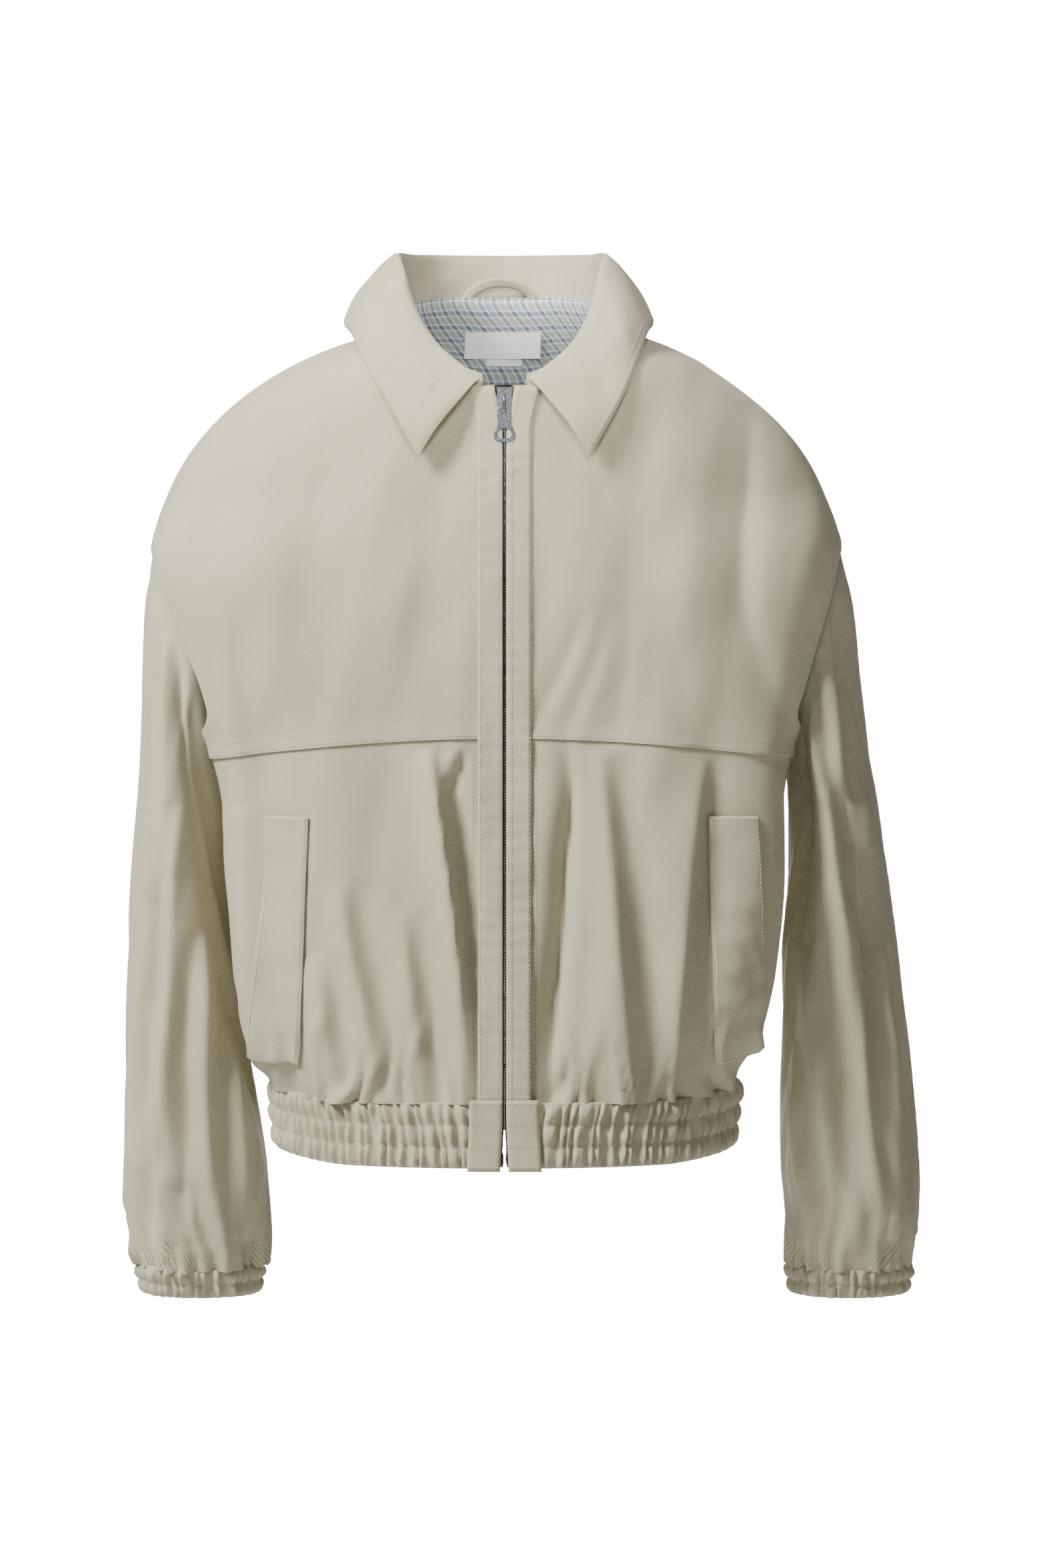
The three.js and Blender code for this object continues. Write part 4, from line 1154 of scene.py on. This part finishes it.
for side, label in SIDES:
    body = FRONT_BEND[side][0]
    placket = patch(f"placket_cloth_{label}", placket_place(side), (0, 17), (-40, -529),
                    1.6, 1.5, [TWILL], edge=1.8)
    settle(placket, [f"placket_{label}"])
    tab = patch(f"hem_tab_cloth_{label}", tab_place(side), (0, 22.5), (-528, -577),
                1.6, 2.6, [TWILL], edge=2.2)
    settle(tab, [f"hem_tab_{label}"])
    for thing in (placket, tab):
        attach(thing, body)
    welt = patch(f"welt_cloth_{label}", welt_place(side), (-15.5, 15.5), WELTS[side][2],
                 1.8, 1.9, [TWILL], edge=2.0)
    settle(welt, [f"welt_{label}"])
    bag = patch(f"pocket_bag_cloth_{label}",
                lambda u, z, lift, side=side: on_front(side * (u + 118), z, lift - 3.9, 1.0),
                (-36, 36), (-330, -500), 5, 0.6, [CHECK])
    settle(bag, [f"pocket_bag_{label}"])
    for thing in (welt, bag):
        bend_front(thing)


# ------------------------------------------------------------------ repeated things: stitches and zip teeth

def small_shape(name, sections, sides=6):
    """A closed little solid along X from (x, half width, half height) sections."""
    verts, faces = [], []
    for x, wide, tall in sections:
        for k in range(sides):
            turn = 2 * PI * (k + 0.5) / sides
            verts.append((x * MM, wide * math.cos(turn) * MM, tall * math.sin(turn) * MM))
    for r in range(len(sections) - 1):
        for k in range(sides):
            after = (k + 1) % sides
            faces.append((r * sides + k, r * sides + after, (r + 1) * sides + after, (r + 1) * sides + k))
    faces.append(tuple(reversed(range(sides))))
    faces.append(tuple(range((len(sections) - 1) * sides, len(sections) * sides)))
    mesh = bpy.data.meshes.new(name)
    mesh.from_pydata(verts, [], [tuple(reversed(f)) for f in faces])
    return bpy.data.objects.new(name, mesh)


def repeater(shape, pitch, material):
    """A node group that sets copies of shape along the lines it is given."""
    group = bpy.data.node_groups.new(f"set_out_{shape.name}", "GeometryNodeTree")
    group.interface.new_socket("Lines", in_out="INPUT", socket_type="NodeSocketGeometry")
    spacing = group.interface.new_socket("Pitch", in_out="INPUT", socket_type="NodeSocketFloat")
    group.interface.new_socket("Copies", in_out="OUTPUT", socket_type="NodeSocketGeometry")

    def node(kind, **settings):
        made = group.nodes.new(kind)
        for key, value in settings.items():
            setattr(made, key, value)
        return made

    source, sink = node("NodeGroupInput"), node("NodeGroupOutput")
    curve = node("GeometryNodeMeshToCurve")
    spread = node("GeometryNodeResampleCurve", mode="LENGTH")
    item = node("GeometryNodeObjectInfo")
    item.inputs["Object"].default_value = shape
    tangent = node("GeometryNodeInputTangent")
    up = node("GeometryNodeInputNamedAttribute", data_type="FLOAT_VECTOR")
    up.inputs["Name"].default_value = "stand_off"
    along = node("FunctionNodeAlignRotationToVector", axis="X")
    level = node("FunctionNodeAlignRotationToVector", axis="Z", pivot_axis="X")
    place = node("GeometryNodeInstanceOnPoints")
    real = node("GeometryNodeRealizeInstances")
    paint = node("GeometryNodeSetMaterial")
    paint.inputs["Material"].default_value = material
    link = group.links.new
    link(source.outputs["Lines"], curve.inputs["Mesh"])
    link(curve.outputs["Curve"], spread.inputs["Curve"])
    link(source.outputs["Pitch"], spread.inputs["Length"])
    link(spread.outputs["Curve"], place.inputs["Points"])
    link(item.outputs["Geometry"], place.inputs["Instance"])
    link(tangent.outputs["Tangent"], along.inputs["Vector"])
    link(along.outputs["Rotation"], level.inputs["Rotation"])
    link(up.outputs["Attribute"], level.inputs["Vector"])
    link(level.outputs["Rotation"], place.inputs["Rotation"])
    link(place.outputs["Instances"], real.inputs["Geometry"])
    link(real.outputs["Geometry"], paint.inputs["Geometry"])
    link(paint.outputs["Geometry"], sink.inputs["Copies"])
    return group, spacing.identifier, pitch


def set_out(name, kit, lines):
    """Copies along lines; each line is (points, directions away from the cloth)."""
    group, spacing, pitch = kit
    verts, edges, ups = [], [], []
    for points, away in lines:
        first = len(verts)
        verts.extend((np.asarray(points) * MM).tolist())
        ups.extend(np.asarray(away).tolist())
        edges.extend((k, k + 1) for k in range(first, len(verts) - 1))
    mesh = bpy.data.meshes.new(name + "_lines")
    mesh.from_pydata(verts, edges, [])
    stand_off = mesh.attributes.new("stand_off", "FLOAT_VECTOR", "POINT")
    stand_off.data.foreach_set("vector", np.array(ups, np.float32).ravel())
    thing = bpy.data.objects.new(name, mesh)
    bpy.context.scene.collection.objects.link(thing)
    modifier = thing.modifiers.new("copies", "NODES")
    modifier.node_group = group
    modifier[spacing] = pitch * MM
    bpy.context.view_layer.update()
    solid = bpy.data.meshes.new_from_object(thing.evaluated_get(bpy.context.evaluated_depsgraph_get()))
    thing.modifiers.remove(modifier)
    thing.data = solid
    solid.polygons.foreach_set("use_smooth", [True] * len(solid.polygons))
    return thing


STITCH_RINGS = [(-1.25, 0.08, 0.06), (-0.8, 0.27, 0.2), (0.8, 0.27, 0.2), (1.25, 0.08, 0.06)]
TOOTH_RINGS = [(-0.55, 1.2, 0.8), (-0.5, 1.3, 0.95), (0.5, 1.3, 0.95), (0.55, 1.2, 0.8)]
STITCHES = repeater(small_shape("stitch", STITCH_RINGS, 5), 3.1, THREAD)
TEETH = repeater(small_shape("tooth", TOOTH_RINGS, 6), 2.0, COIL)


def seam(place, a, b, lift=0.0):
    """A line over a cloth place(a, b, lift), with the way off the cloth at each point."""
    a, b = np.broadcast_arrays(np.asarray(a, float), np.asarray(b, float))
    low, high = place(a, b, lift + 0 * a), place(a, b, lift + 1 + 0 * a)
    away = high - low
    return low, away / np.linalg.norm(away, axis=-1, keepdims=True)


def spread(low, high, step=2.2):
    return np.linspace(low, high, max(int(abs(high - low) / step), 2))


def round_box(place, x0, x1, z0, z1, lift):
    """The four sides of a rectangle of stitches."""
    return [
        seam(place, spread(x0, x1), z0, lift), seam(place, spread(x0, x1), z1, lift),
        seam(place, x0, spread(z0, z1), lift), seam(place, x1, spread(z0, z1), lift),
    ]


# ------------------------------------------------------------------ zip

def chain_x(side, z):
    return side * (1.35 + flare(z))


for side, label in SIDES:
    body = FRONT_BEND[side][0]

    def tape_place(across, z, lift, side=side):
        return on_front(side * (0.35 + across + 0.9 * flare(z)), z, -0.5 + lift, 0.75)

    tape = patch(f"zip_tape_cloth_{label}", tape_place, (0, 12), (-39, -574), 3, 0.6, [TAPE])
    settle(tape, [f"zip_tape_{label}"])
    zs = spread(-41 - side * 0.5, -566 - side * 0.5)
    row = seam(lambda x, z, lift: on_front(x, z, lift, 0.75), chain_x(side, zs), zs, 0.9)
    chain = set_out(f"zip_teeth_{label}", TEETH, [row])
    settle(chain, [f"zip_coil_{label}"])
    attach(tape, body)
    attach(chain, body)


def plate(name, outline, holes, half, bevel, place, turn, material):
    """A flat metal piece with rounded rims; outline and holes are (x, z) rings in millimetres."""
    data = bpy.data.curves.new(name, "CURVE")
    data.dimensions = "2D"
    data.fill_mode = "BOTH"
    data.extrude = (half - bevel) * MM
    data.bevel_depth = bevel * MM
    data.bevel_resolution = 2
    data.offset = -bevel * MM
    for ring in [outline] + holes:
        spline = data.splines.new("POLY")
        spline.points.add(len(ring) - 1)
        for point, (x, z) in zip(spline.points, ring):
            point.co = (x * MM, z * MM, 0, 1)
        spline.use_cyclic_u = True
    curve = bpy.data.objects.new(name, data)
    bpy.context.scene.collection.objects.link(curve)
    bpy.context.view_layer.update()
    mesh = bpy.data.meshes.new_from_object(curve.evaluated_get(bpy.context.evaluated_depsgraph_get()))
    bpy.data.objects.remove(curve)
    co = np.zeros(len(mesh.vertices) * 3)
    mesh.vertices.foreach_get("co", co)
    x, z, y = co.reshape(-1, 3).T / MM
    c, s = math.cos(turn), math.sin(turn)
    points = np.stack([x + place[0], place[1] + y * c + z * s, place[2] + z * c - y * s], -1)
    faces = [tuple(p.vertices) for p in mesh.polygons]
    bpy.data.meshes.remove(mesh)
    if volume(points, faces) < 0:
        faces = [tuple(reversed(f)) for f in faces]
    return points, faces


def ring_of(points, rounds=3):
    """A closed outline with its corners cut softly."""
    points = [np.array(p, float) for p in points]
    for _ in range(rounds):
        cut = []
        for k, p in enumerate(points):
            q = points[(k + 1) % len(points)]
            cut += [p * 0.75 + q * 0.25, p * 0.25 + q * 0.75]
        points = cut
    return [tuple(p) for p in points]


def joined(name, parts, material):
    points, faces, start = [], [], 0
    for some_points, some_faces in parts:
        points.append(some_points)
        faces += [tuple(i + start for i in face) for face in some_faces]
        start += len(some_points)
    return as_mesh(name, np.vstack(points), faces, None, [material])


slider_low, slider_high = (np.array(corner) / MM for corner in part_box("zip_slider"))
pull_low, pull_high = (np.array(corner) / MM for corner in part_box("zip_pull"))
TILT = math.atan(29 / 539)
zip_x = (slider_low[0] + slider_high[0]) / 2
slider_z = (slider_low[2] + slider_high[2]) / 2
face_y = -97.0 - 29 / 539 * (NECK_FRONT_Z - slider_z)
shield = [
    (-5.6, 5.6), (-3.6, 6.9), (3.6, 6.9), (5.6, 5.6),
    (4.9, -2.0), (3.7, -6.6), (-3.7, -6.6), (-4.9, -2.0),
]
wedge = [(-1.4, 6.0), (1.4, 6.0), (0.6, 1.0), (-0.6, 1.0)]
slider_parts = [
    plate("slider_front", ring_of(shield, 2), [], 0.75, 0.35,
          (zip_x, face_y - 3.1, slider_z), TILT, GUNMETAL),
    plate("slider_back", ring_of(shield, 2), [], 0.65, 0.3,
          (zip_x, face_y + 1.0, slider_z), TILT, GUNMETAL),
    plate("slider_wedge", ring_of(wedge, 2), [], 1.9, 0.2,
          (zip_x, face_y - 1.0, slider_z), TILT, GUNMETAL),
]


def bent_bar(path, wide, tall, sides=8):
    """A bar along (y, z) points, closed at both ends."""
    path = np.array(path, float)
    tangent = np.gradient(path, axis=0)
    tangent /= np.linalg.norm(tangent, axis=1, keepdims=True)
    points, faces = [], []
    for (y, z), (ty, tz) in zip(path, tangent):
        for k in range(sides):
            t = 2 * PI * k / sides
            a, b = wide * math.cos(t), tall * math.sin(t)
            points.append((zip_x + a, y - tz * b, z + ty * b))
    for r in range(len(path) - 1):
        for k in range(sides):
            after = (k + 1) % sides
            faces.append((r * sides + k, r * sides + after, (r + 1) * sides + after, (r + 1) * sides + k))
    faces.append(tuple(reversed(range(sides))))
    faces.append(tuple(range((len(path) - 1) * sides, len(path) * sides)))
    points = np.array(points)
    if volume(points, faces) < 0:
        faces = [tuple(reversed(f)) for f in faces]
    return points, faces


bridge = [
    (face_y - 3.4 - 2.7 * math.sin(PI * t) ** 0.6, slider_z + 5.6 - 9.6 * t)
    for t in np.linspace(0, 1, 16)
]
slider_parts.append(bent_bar(bridge, 1.15, 0.7))
slider = settle(joined("slider_metal", slider_parts, GUNMETAL), ["zip_slider"])
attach(slider, "slider")

pull_top, pull_bottom = pull_high[2], pull_low[2]
pull_length = pull_top - pull_bottom
middle_y = (pull_low[1] + pull_high[1]) / 2
half = [
    (4.3, 0), (4.9, -4.0), (4.7, -9.0), (4.3, -12.5),
    (6.0, -15.0), (7.3, -18.5), (7.4, -21.5), (5.6, -24.4),
]
outline = [(x, z) for x, z in half] + [(0, -24.9)] + [(-x, z) for x, z in reversed(half)]
opening = [
    (3.1, -15.6), (4.9, -18.4), (4.9, -20.6), (3.2, -22.2),
    (-3.2, -22.2), (-4.9, -20.6), (-4.9, -18.4), (-3.1, -15.6),
]
slot_hole = [(1.7, -1.5), (1.9, -9.2), (-1.9, -9.2), (-1.7, -1.5)]
scale = pull_length / 24.9
outline, opening, slot_hole = (
    ring_of([(x, z * scale) for x, z in ring], 2) for ring in (outline, opening, slot_hole))
pull_parts = [plate("pull_plate", outline, [opening, slot_hole], 0.8, 0.38,
                    (zip_x, middle_y, pull_top), TILT, GUNMETAL)]
pull = settle(joined("pull_metal", pull_parts, GUNMETAL), ["zip_pull"])
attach(pull, "pull")

for node in ("zip_top_stop_left", "zip_top_stop_right", "zip_retainer_box", "zip_insertion_pin"):
    low, high = (np.array(corner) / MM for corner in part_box(node))
    centre, size = (low + high) / 2, high - low
    shift = flare(centre[2]) * np.sign(centre[0]) if "stop" in node else 0.0
    half_x, half_z = size[0] / 2, size[2] / 2
    rim = ring_of([(-half_x, -half_z), (half_x, -half_z), (half_x, half_z), (-half_x, half_z)], 2)
    made = plate(node, rim, [], max(size[1] / 2, 0.6), 0.25,
                 (centre[0] + shift, centre[1], centre[2]), 0.0, GUNMETAL)
    fitting = settle(joined(f"{node}_metal", [made], GUNMETAL), [node])
    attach(fitting, "front_left" if node in ("zip_top_stop_left", "zip_retainer_box") else "front_right")


# ------------------------------------------------------------------ hang loop and labels

def loop_place(a, b, lift):
    """The strip of the hang loop; a runs along it and b across it."""
    t = PI * a
    arch = np.stack([26.5 * np.cos(t) - 3, 53.0 - 1.5 * np.sin(t), 10 + 22 * np.sin(t) ** 0.85], -1)
    lean = 0.5 * np.sin(t) + 0.25 * np.sin(2 * t)
    out = np.stack([np.cos(t), -np.sin(lean), np.sin(t) + 0.15], -1)
    out /= np.linalg.norm(out, axis=-1, keepdims=True)
    flat = np.cross(out, np.stack([-np.sin(t), 0 * t, np.cos(t) * 0.9], -1))
    flat /= np.linalg.norm(flat, axis=-1, keepdims=True)
    flat = flat * np.where(flat[..., 1:2] > 0, -1, 1)
    return arch + out * ((b - 0.5) * 7.4)[..., None] + flat * lift[..., None]


loop = shaped("hang_loop_cloth", loop_place, 9, 60, slanted(0, 1), 1.7, TWILL, (True, False))
settle(loop, ["hang_loop"])
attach(loop, "hang_loop")


def inside_back(x, z, lift):
    """A place on the inner face of the back lining."""
    x, z = np.broadcast_arrays(np.asarray(x, float), np.asarray(z, float))
    angle, level = body_place(x, z, True)
    here, normal = body_facing(angle, level, 7.4)
    return here + normal * (beneath(back_folds)(x, z) * by_side_seam(angle) - lift)[..., None]


def facing_place(a, b, lift):
    """The check facing covers the foot of the stand and turns down over the back lining."""
    turn = 2 * a - 1
    side = np.where(turn < 0, -1.0, 1.0)
    share = 1 - 0.46 * np.abs(turn)
    left_top, right_top = (stand_at(share, 0.3 + 0 * a, 0 * a, which) for which in (-1, 1))
    top = np.where(side[..., None] < 0, left_top, right_top)
    inward = np.array([0.0, -17.5, 0.0]) - top * [1, 1, 0]
    inward /= np.linalg.norm(inward, axis=-1, keepdims=True)
    top = top + inward * 1.9
    foot = inside_back(top[..., 0] * 1.08, -34 + 0 * a, 0.4 + 0 * a)
    knee = neck_at(share, 7.5)
    knee[..., 0] *= side
    knee = knee + [0, 0, -4]
    b = b[..., None]
    curve = (1 - b) ** 2 * top + 2 * b * (1 - b) * (2 * knee - 0.5 * (top + foot)) + b ** 2 * foot
    return curve + inward * lift[..., None]


facing_piece = shaped("neck_facing_cloth", facing_place, 22, 90, slanted(0, 1), 0.8, CHECK, (False, False))
settle(facing_piece, ["neck_facing"])
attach(facing_piece, "back")


def over_facing(x, z, lift):
    """A place on the front of the facing at x and z."""
    grid = np.linspace(0, 1, 80)
    beside = facing_place(grid, 0.5 + 0 * grid, 0 * grid)[:, 0]
    down = facing_place(0.5 + 0 * grid, grid, 0 * grid)[:, 2]
    a = np.interp(x, beside, grid)
    b = np.interp(-np.asarray(z, float), -down, grid)
    a, b = np.broadcast_arrays(a, b)
    return facing_place(a, b, lift + 0.8)


def label_place(across, z, lift):
    curl = 0.6 + 0.4 * np.sin(across / 9) + 1.0 * (np.abs(across) / 27) ** 4
    return over_facing(across - 1.5, z, lift + curl)


label_piece = patch("neck_label_cloth", label_place, (-27.5, 27.5), (-3.5, -22), 1.5, 0.5, [LABEL])
settle(label_piece, ["neck_label"])
tab_piece = patch("size_tab_cloth", lambda x, z, lift: over_facing(x - 0.5, z, lift + 0.15),
                  (-12.5, 12.5), (-21, -27), 1.5, 0.4, [LABEL])
settle(tab_piece, ["size_tab"])
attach(label_piece, "back")
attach(tab_piece, "back")


# ------------------------------------------------------------------ stitching

def leaf_row(side, inset):
    """A row of stitches a set distance in from the collar's edge, along the front end and the outer edge."""
    share = np.linspace(0, 1, 150)
    length = np.linalg.norm(roll_at(share) - rounded_line(LEAF_EDGE, share), axis=-1)
    start = inset / 116
    outer_share = share * (1 - start) + start
    drop = 1 - inset / np.maximum(length, 20)
    down = np.linspace(0.02, drop[0], 26)
    shares = np.concatenate([np.full(26, start), outer_share])
    drops = np.concatenate([down, np.interp(outer_share, share, drop)])
    return seam(lambda a, b, lift: leaf_at(a, b, lift, side), shares, drops, 2.5)


def band_row(place, run_of, a, down, height, channels, pitch, seed):
    """A row of stitches over a gathered band."""
    def over(a, down, lift):
        here, normal = place(a, down)
        share = np.abs(2 * down / height - 1)
        wave = ruched(run_of(a), down, height, channels, pitch, seed) * (1 - 0.6 * share ** 12)
        body = 2.1 * np.sqrt(1 - np.clip(share, 0, 1) ** 7 * 0.85)
        return here + normal * (wave + body - 0.6 + lift)[..., None]

    return seam(over, a, down, 0.1)


for side, label in SIDES:
    body = FRONT_BEND[side][0]
    place = placket_place(side)
    zs = spread(-43, -526)
    rides = [seam(place, 3.6 if k == 0 else 15.2, zs, 1.65) for k in (0, 1)]
    tab = tab_place(side)
    rides += [seam(tab, spread(2, 20), z, 2.75) for z in (-530.5, -545, -560, -574)]
    front_rows = []
    xs = side * spread(20, float(body_edge(-288, side)) - 6)
    for above in (2.2, 9.6):
        stand_up = 1.6 - 0.9 * float(soft_step(above, 1, 13))
        front_rows.append(seam(on_front, xs, yoke_line(xs) + above, stand_up))
    front_rows.append(seam(on_front, side * 21.5, spread(-46, -280), 0.65))
    front_rows.append(seam(on_front, side * 21.5, spread(-292, -526), 0.1))
    low, high = WELTS[side][2][1] + 2.2, WELTS[side][2][0] - 2.2
    front_rows += round_box(welt_place(side), -13.2, 13.2, low, high, 2.0)
    zs = spread(-160, -292)
    front_rows.append(seam(on_front, side * (armhole_x(zs, side) - 3.0), zs, 0.65))
    front_rows += [leaf_row(side, 3.4), leaf_row(side, 8.2)]
    front_rows.append(seam(lambda a, b, lift: stand_at(a, b, lift, side),
                           np.linspace(0.35, 1, 60), 0.84, 1.6))
    start = float(body_place(np.array([side * TAB_X]), np.array([-552.0]))[0][0])
    a_line = np.linspace(start, 2 * PI - 2e-3 if side > 0 else PI, 260)
    for down in (1.0, 15.0, 30.0, 43.6):
        front_rows.append(band_row(hem_place, hem_run, a_line, down + 0 * a_line,
                                   HEM_HEIGHT, HEM_CHANNELS, HEM_PITCH, 80 + side))
    rows = settle(set_out(f"front_stitches_{label}", STITCHES, front_rows), [])
    bend_front(rows)
    rows = settle(set_out(f"placket_stitches_{label}", STITCHES, rides), [])
    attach(rows, body)

    def cuff_place(a, down, side=side):
        return sleeve_facing(side, a, 510 + down, 1.5)

    a_line = np.linspace(0, 2 * PI, 220)
    rows = set_out(f"cuff_stitches_{label}", STITCHES, [
        band_row(cuff_place, lambda a: a * CUFF_RADIUS, a_line, down + 0 * a_line,
                 CUFF_HEIGHT, CUFF_CHANNELS, CUFF_PITCH, 100 + side)
        for down in (1.0, 10.5, 20.0)
    ])
    settle(rows, [])
    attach(rows, SLEEVE_BEND[side][0])

back_rows = []
xs = spread(-224, 224)
for above in (2.2, 9.6):
    back_rows.append(seam(on_back, xs, BACK_YOKE_Z + above, 0.7 + 0.9 * (1 - float(soft_step(above, 1, 13)))))
a_line = np.linspace(0, PI, 420)
for down in (1.0, 15.0, 30.0, 43.6):
    back_rows.append(band_row(hem_place, hem_run, a_line, down + 0 * a_line,
                              HEM_HEIGHT, HEM_CHANNELS, HEM_PITCH, 90))
rows = settle(set_out("back_stitches", STITCHES, back_rows), [])
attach(rows, "back")


# ------------------------------------------------------------------ cut sizes of the cloth

def cut(things, width, length, held, share=1.0):
    """Works out each sheet's cloth area from its flat size, then does nothing with it; share is the part of
    that rectangle that is cloth.
    """
    area = None if share == 1.0 else share * width * length
    for thing in things:
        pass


BOTH = ("left", "right")
cut([f"front_yoke_cloth_{s}" for s in BOTH], 0.25, 0.31, "hung", 0.8)
cut([f"front_panel_cloth_{s}" for s in BOTH], 0.27, 0.26, "gathered")
cut([f"front_lining_cloth_{s}" for s in BOTH], 0.25, 0.55, "hung", 0.85)
cut(["back_yoke_cloth"], 0.54, 0.21, "hung", 0.8)
cut(["back_panel_cloth"], 0.62, 0.40, "gathered", 0.9)
cut(["back_lining_cloth"], 0.54, 0.58, "hung", 0.85)
cut(["neck_facing_cloth"], 0.20, 0.05, "hung")
cut([f"hem_band_cloth_{s}" for s in BOTH], 0.30, 0.05, "gathered")
cut(["hem_band_cloth_back"], 0.62, 0.05, "gathered")
cut([f"sleeve_cloth_{s}" for s in BOTH], 0.36, 0.52, "gathered", 0.88)
cut([f"sleeve_lining_cloth_{s}" for s in BOTH], 0.30, 0.51, "hung", 0.88)
cut([f"cuff_cloth_{s}" for s in BOTH], 0.29, 0.026, "gathered")
cut([f"collar_leaf_cloth_{s}" for s in BOTH], 0.24, 0.08, "folded", 0.85)
cut([f"collar_stand_cloth_{s}" for s in BOTH], 0.19, 0.036, "folded")
cut([f"placket_cloth_{s}" for s in BOTH], 0.017, 0.49, "hung")
cut([f"hem_tab_cloth_{s}" for s in BOTH], 0.0225, 0.049, "folded")
cut([f"welt_cloth_{s}" for s in BOTH], 0.031, 0.172, "folded")
cut([f"pocket_bag_cloth_{s}" for s in BOTH], 0.072, 0.17, "hung")
cut([f"zip_tape_cloth_{s}" for s in BOTH], 0.012, 0.535, "stretched")
cut(["hang_loop_cloth"], 0.075, 0.01, "folded")


# ------------------------------------------------------------------ light, floor and camera

def area_light(name, size, power, place, target, spread_to=180):
    """A square lamp in watts and metres; spread_to narrows its beam, in degrees."""
    data = bpy.data.lights.new(name, "AREA")
    data.shape = "SQUARE"
    data.size = size
    data.energy = power
    data.spread = math.radians(spread_to)
    lamp = bpy.data.objects.new(name, data)
    bpy.context.scene.collection.objects.link(lamp)
    lamp.location = place
    lamp.rotation_euler = (Vector(target) - Vector(place)).to_track_quat("-Z", "Y").to_euler()
    return lamp


def flat_screen(name, corners, glow):
    """A plain white sheet of the studio; glow is how brightly it shines of itself."""
    mesh = bpy.data.meshes.new(name)
    mesh.from_pydata(corners, [], [(0, 1, 2, 3)])
    paint = Finish(name, roughness=1.0)
    paint.colour((0.85, 0.85, 0.85))
    paint.shader.inputs["Specular IOR Level"].default_value = 0.0
    paint.shader.inputs["Emission Color"].default_value = (1, 1, 1, 1)
    paint.shader.inputs["Emission Strength"].default_value = glow
    mesh.materials.append(paint.material)
    thing = bpy.data.objects.new(name, mesh)
    bpy.context.scene.collection.objects.link(thing)
    return thing


scene = bpy.context.scene
world = bpy.data.worlds.new("studio")
scene.world = world
world.use_nodes = True
world.node_tree.nodes["Background"].inputs["Color"].default_value = (1, 1, 1, 1)
world.node_tree.nodes["Background"].inputs["Strength"].default_value = 0.12
flat_screen("floor", [(-6, -6, -1.6), (6, -6, -1.6), (6, 6, -1.6), (-6, 6, -1.6)], 0.0)
SCREEN_Y = 3.2
flat_screen("white_screen", [
    (-0.9, SCREEN_Y, -2.0), (0.9, SCREEN_Y, -2.0), (0.9, SCREEN_Y, 1.0), (-0.9, SCREEN_Y, 1.0)], 14.0)
area_light("key", 0.8, 262, (-1.8, -1.45, 1.95), (0, 0, -0.1))
area_light("fill", 1.6, 9, (0.4, -3.6, 1.6), (0, 0, -0.3))

area_light("neck_light", 0.3, 0.7, (0.1, -1.3, 0.55), (0, 0.05, 0.02), 28)

camera_data = bpy.data.cameras.new("camera")
camera_data.sensor_width = 36
camera_data.lens = 150.0
camera = bpy.data.objects.new("camera", camera_data)
scene.collection.objects.link(camera)
aim = Vector((0.0124, -0.08, -0.314))
pitch = math.radians(3.7)
camera.location = aim + Vector((0, -math.cos(pitch), math.sin(pitch))) * 4.5
camera.rotation_euler = (aim - camera.location).to_track_quat("-Z", "Y").to_euler()
scene.camera = camera
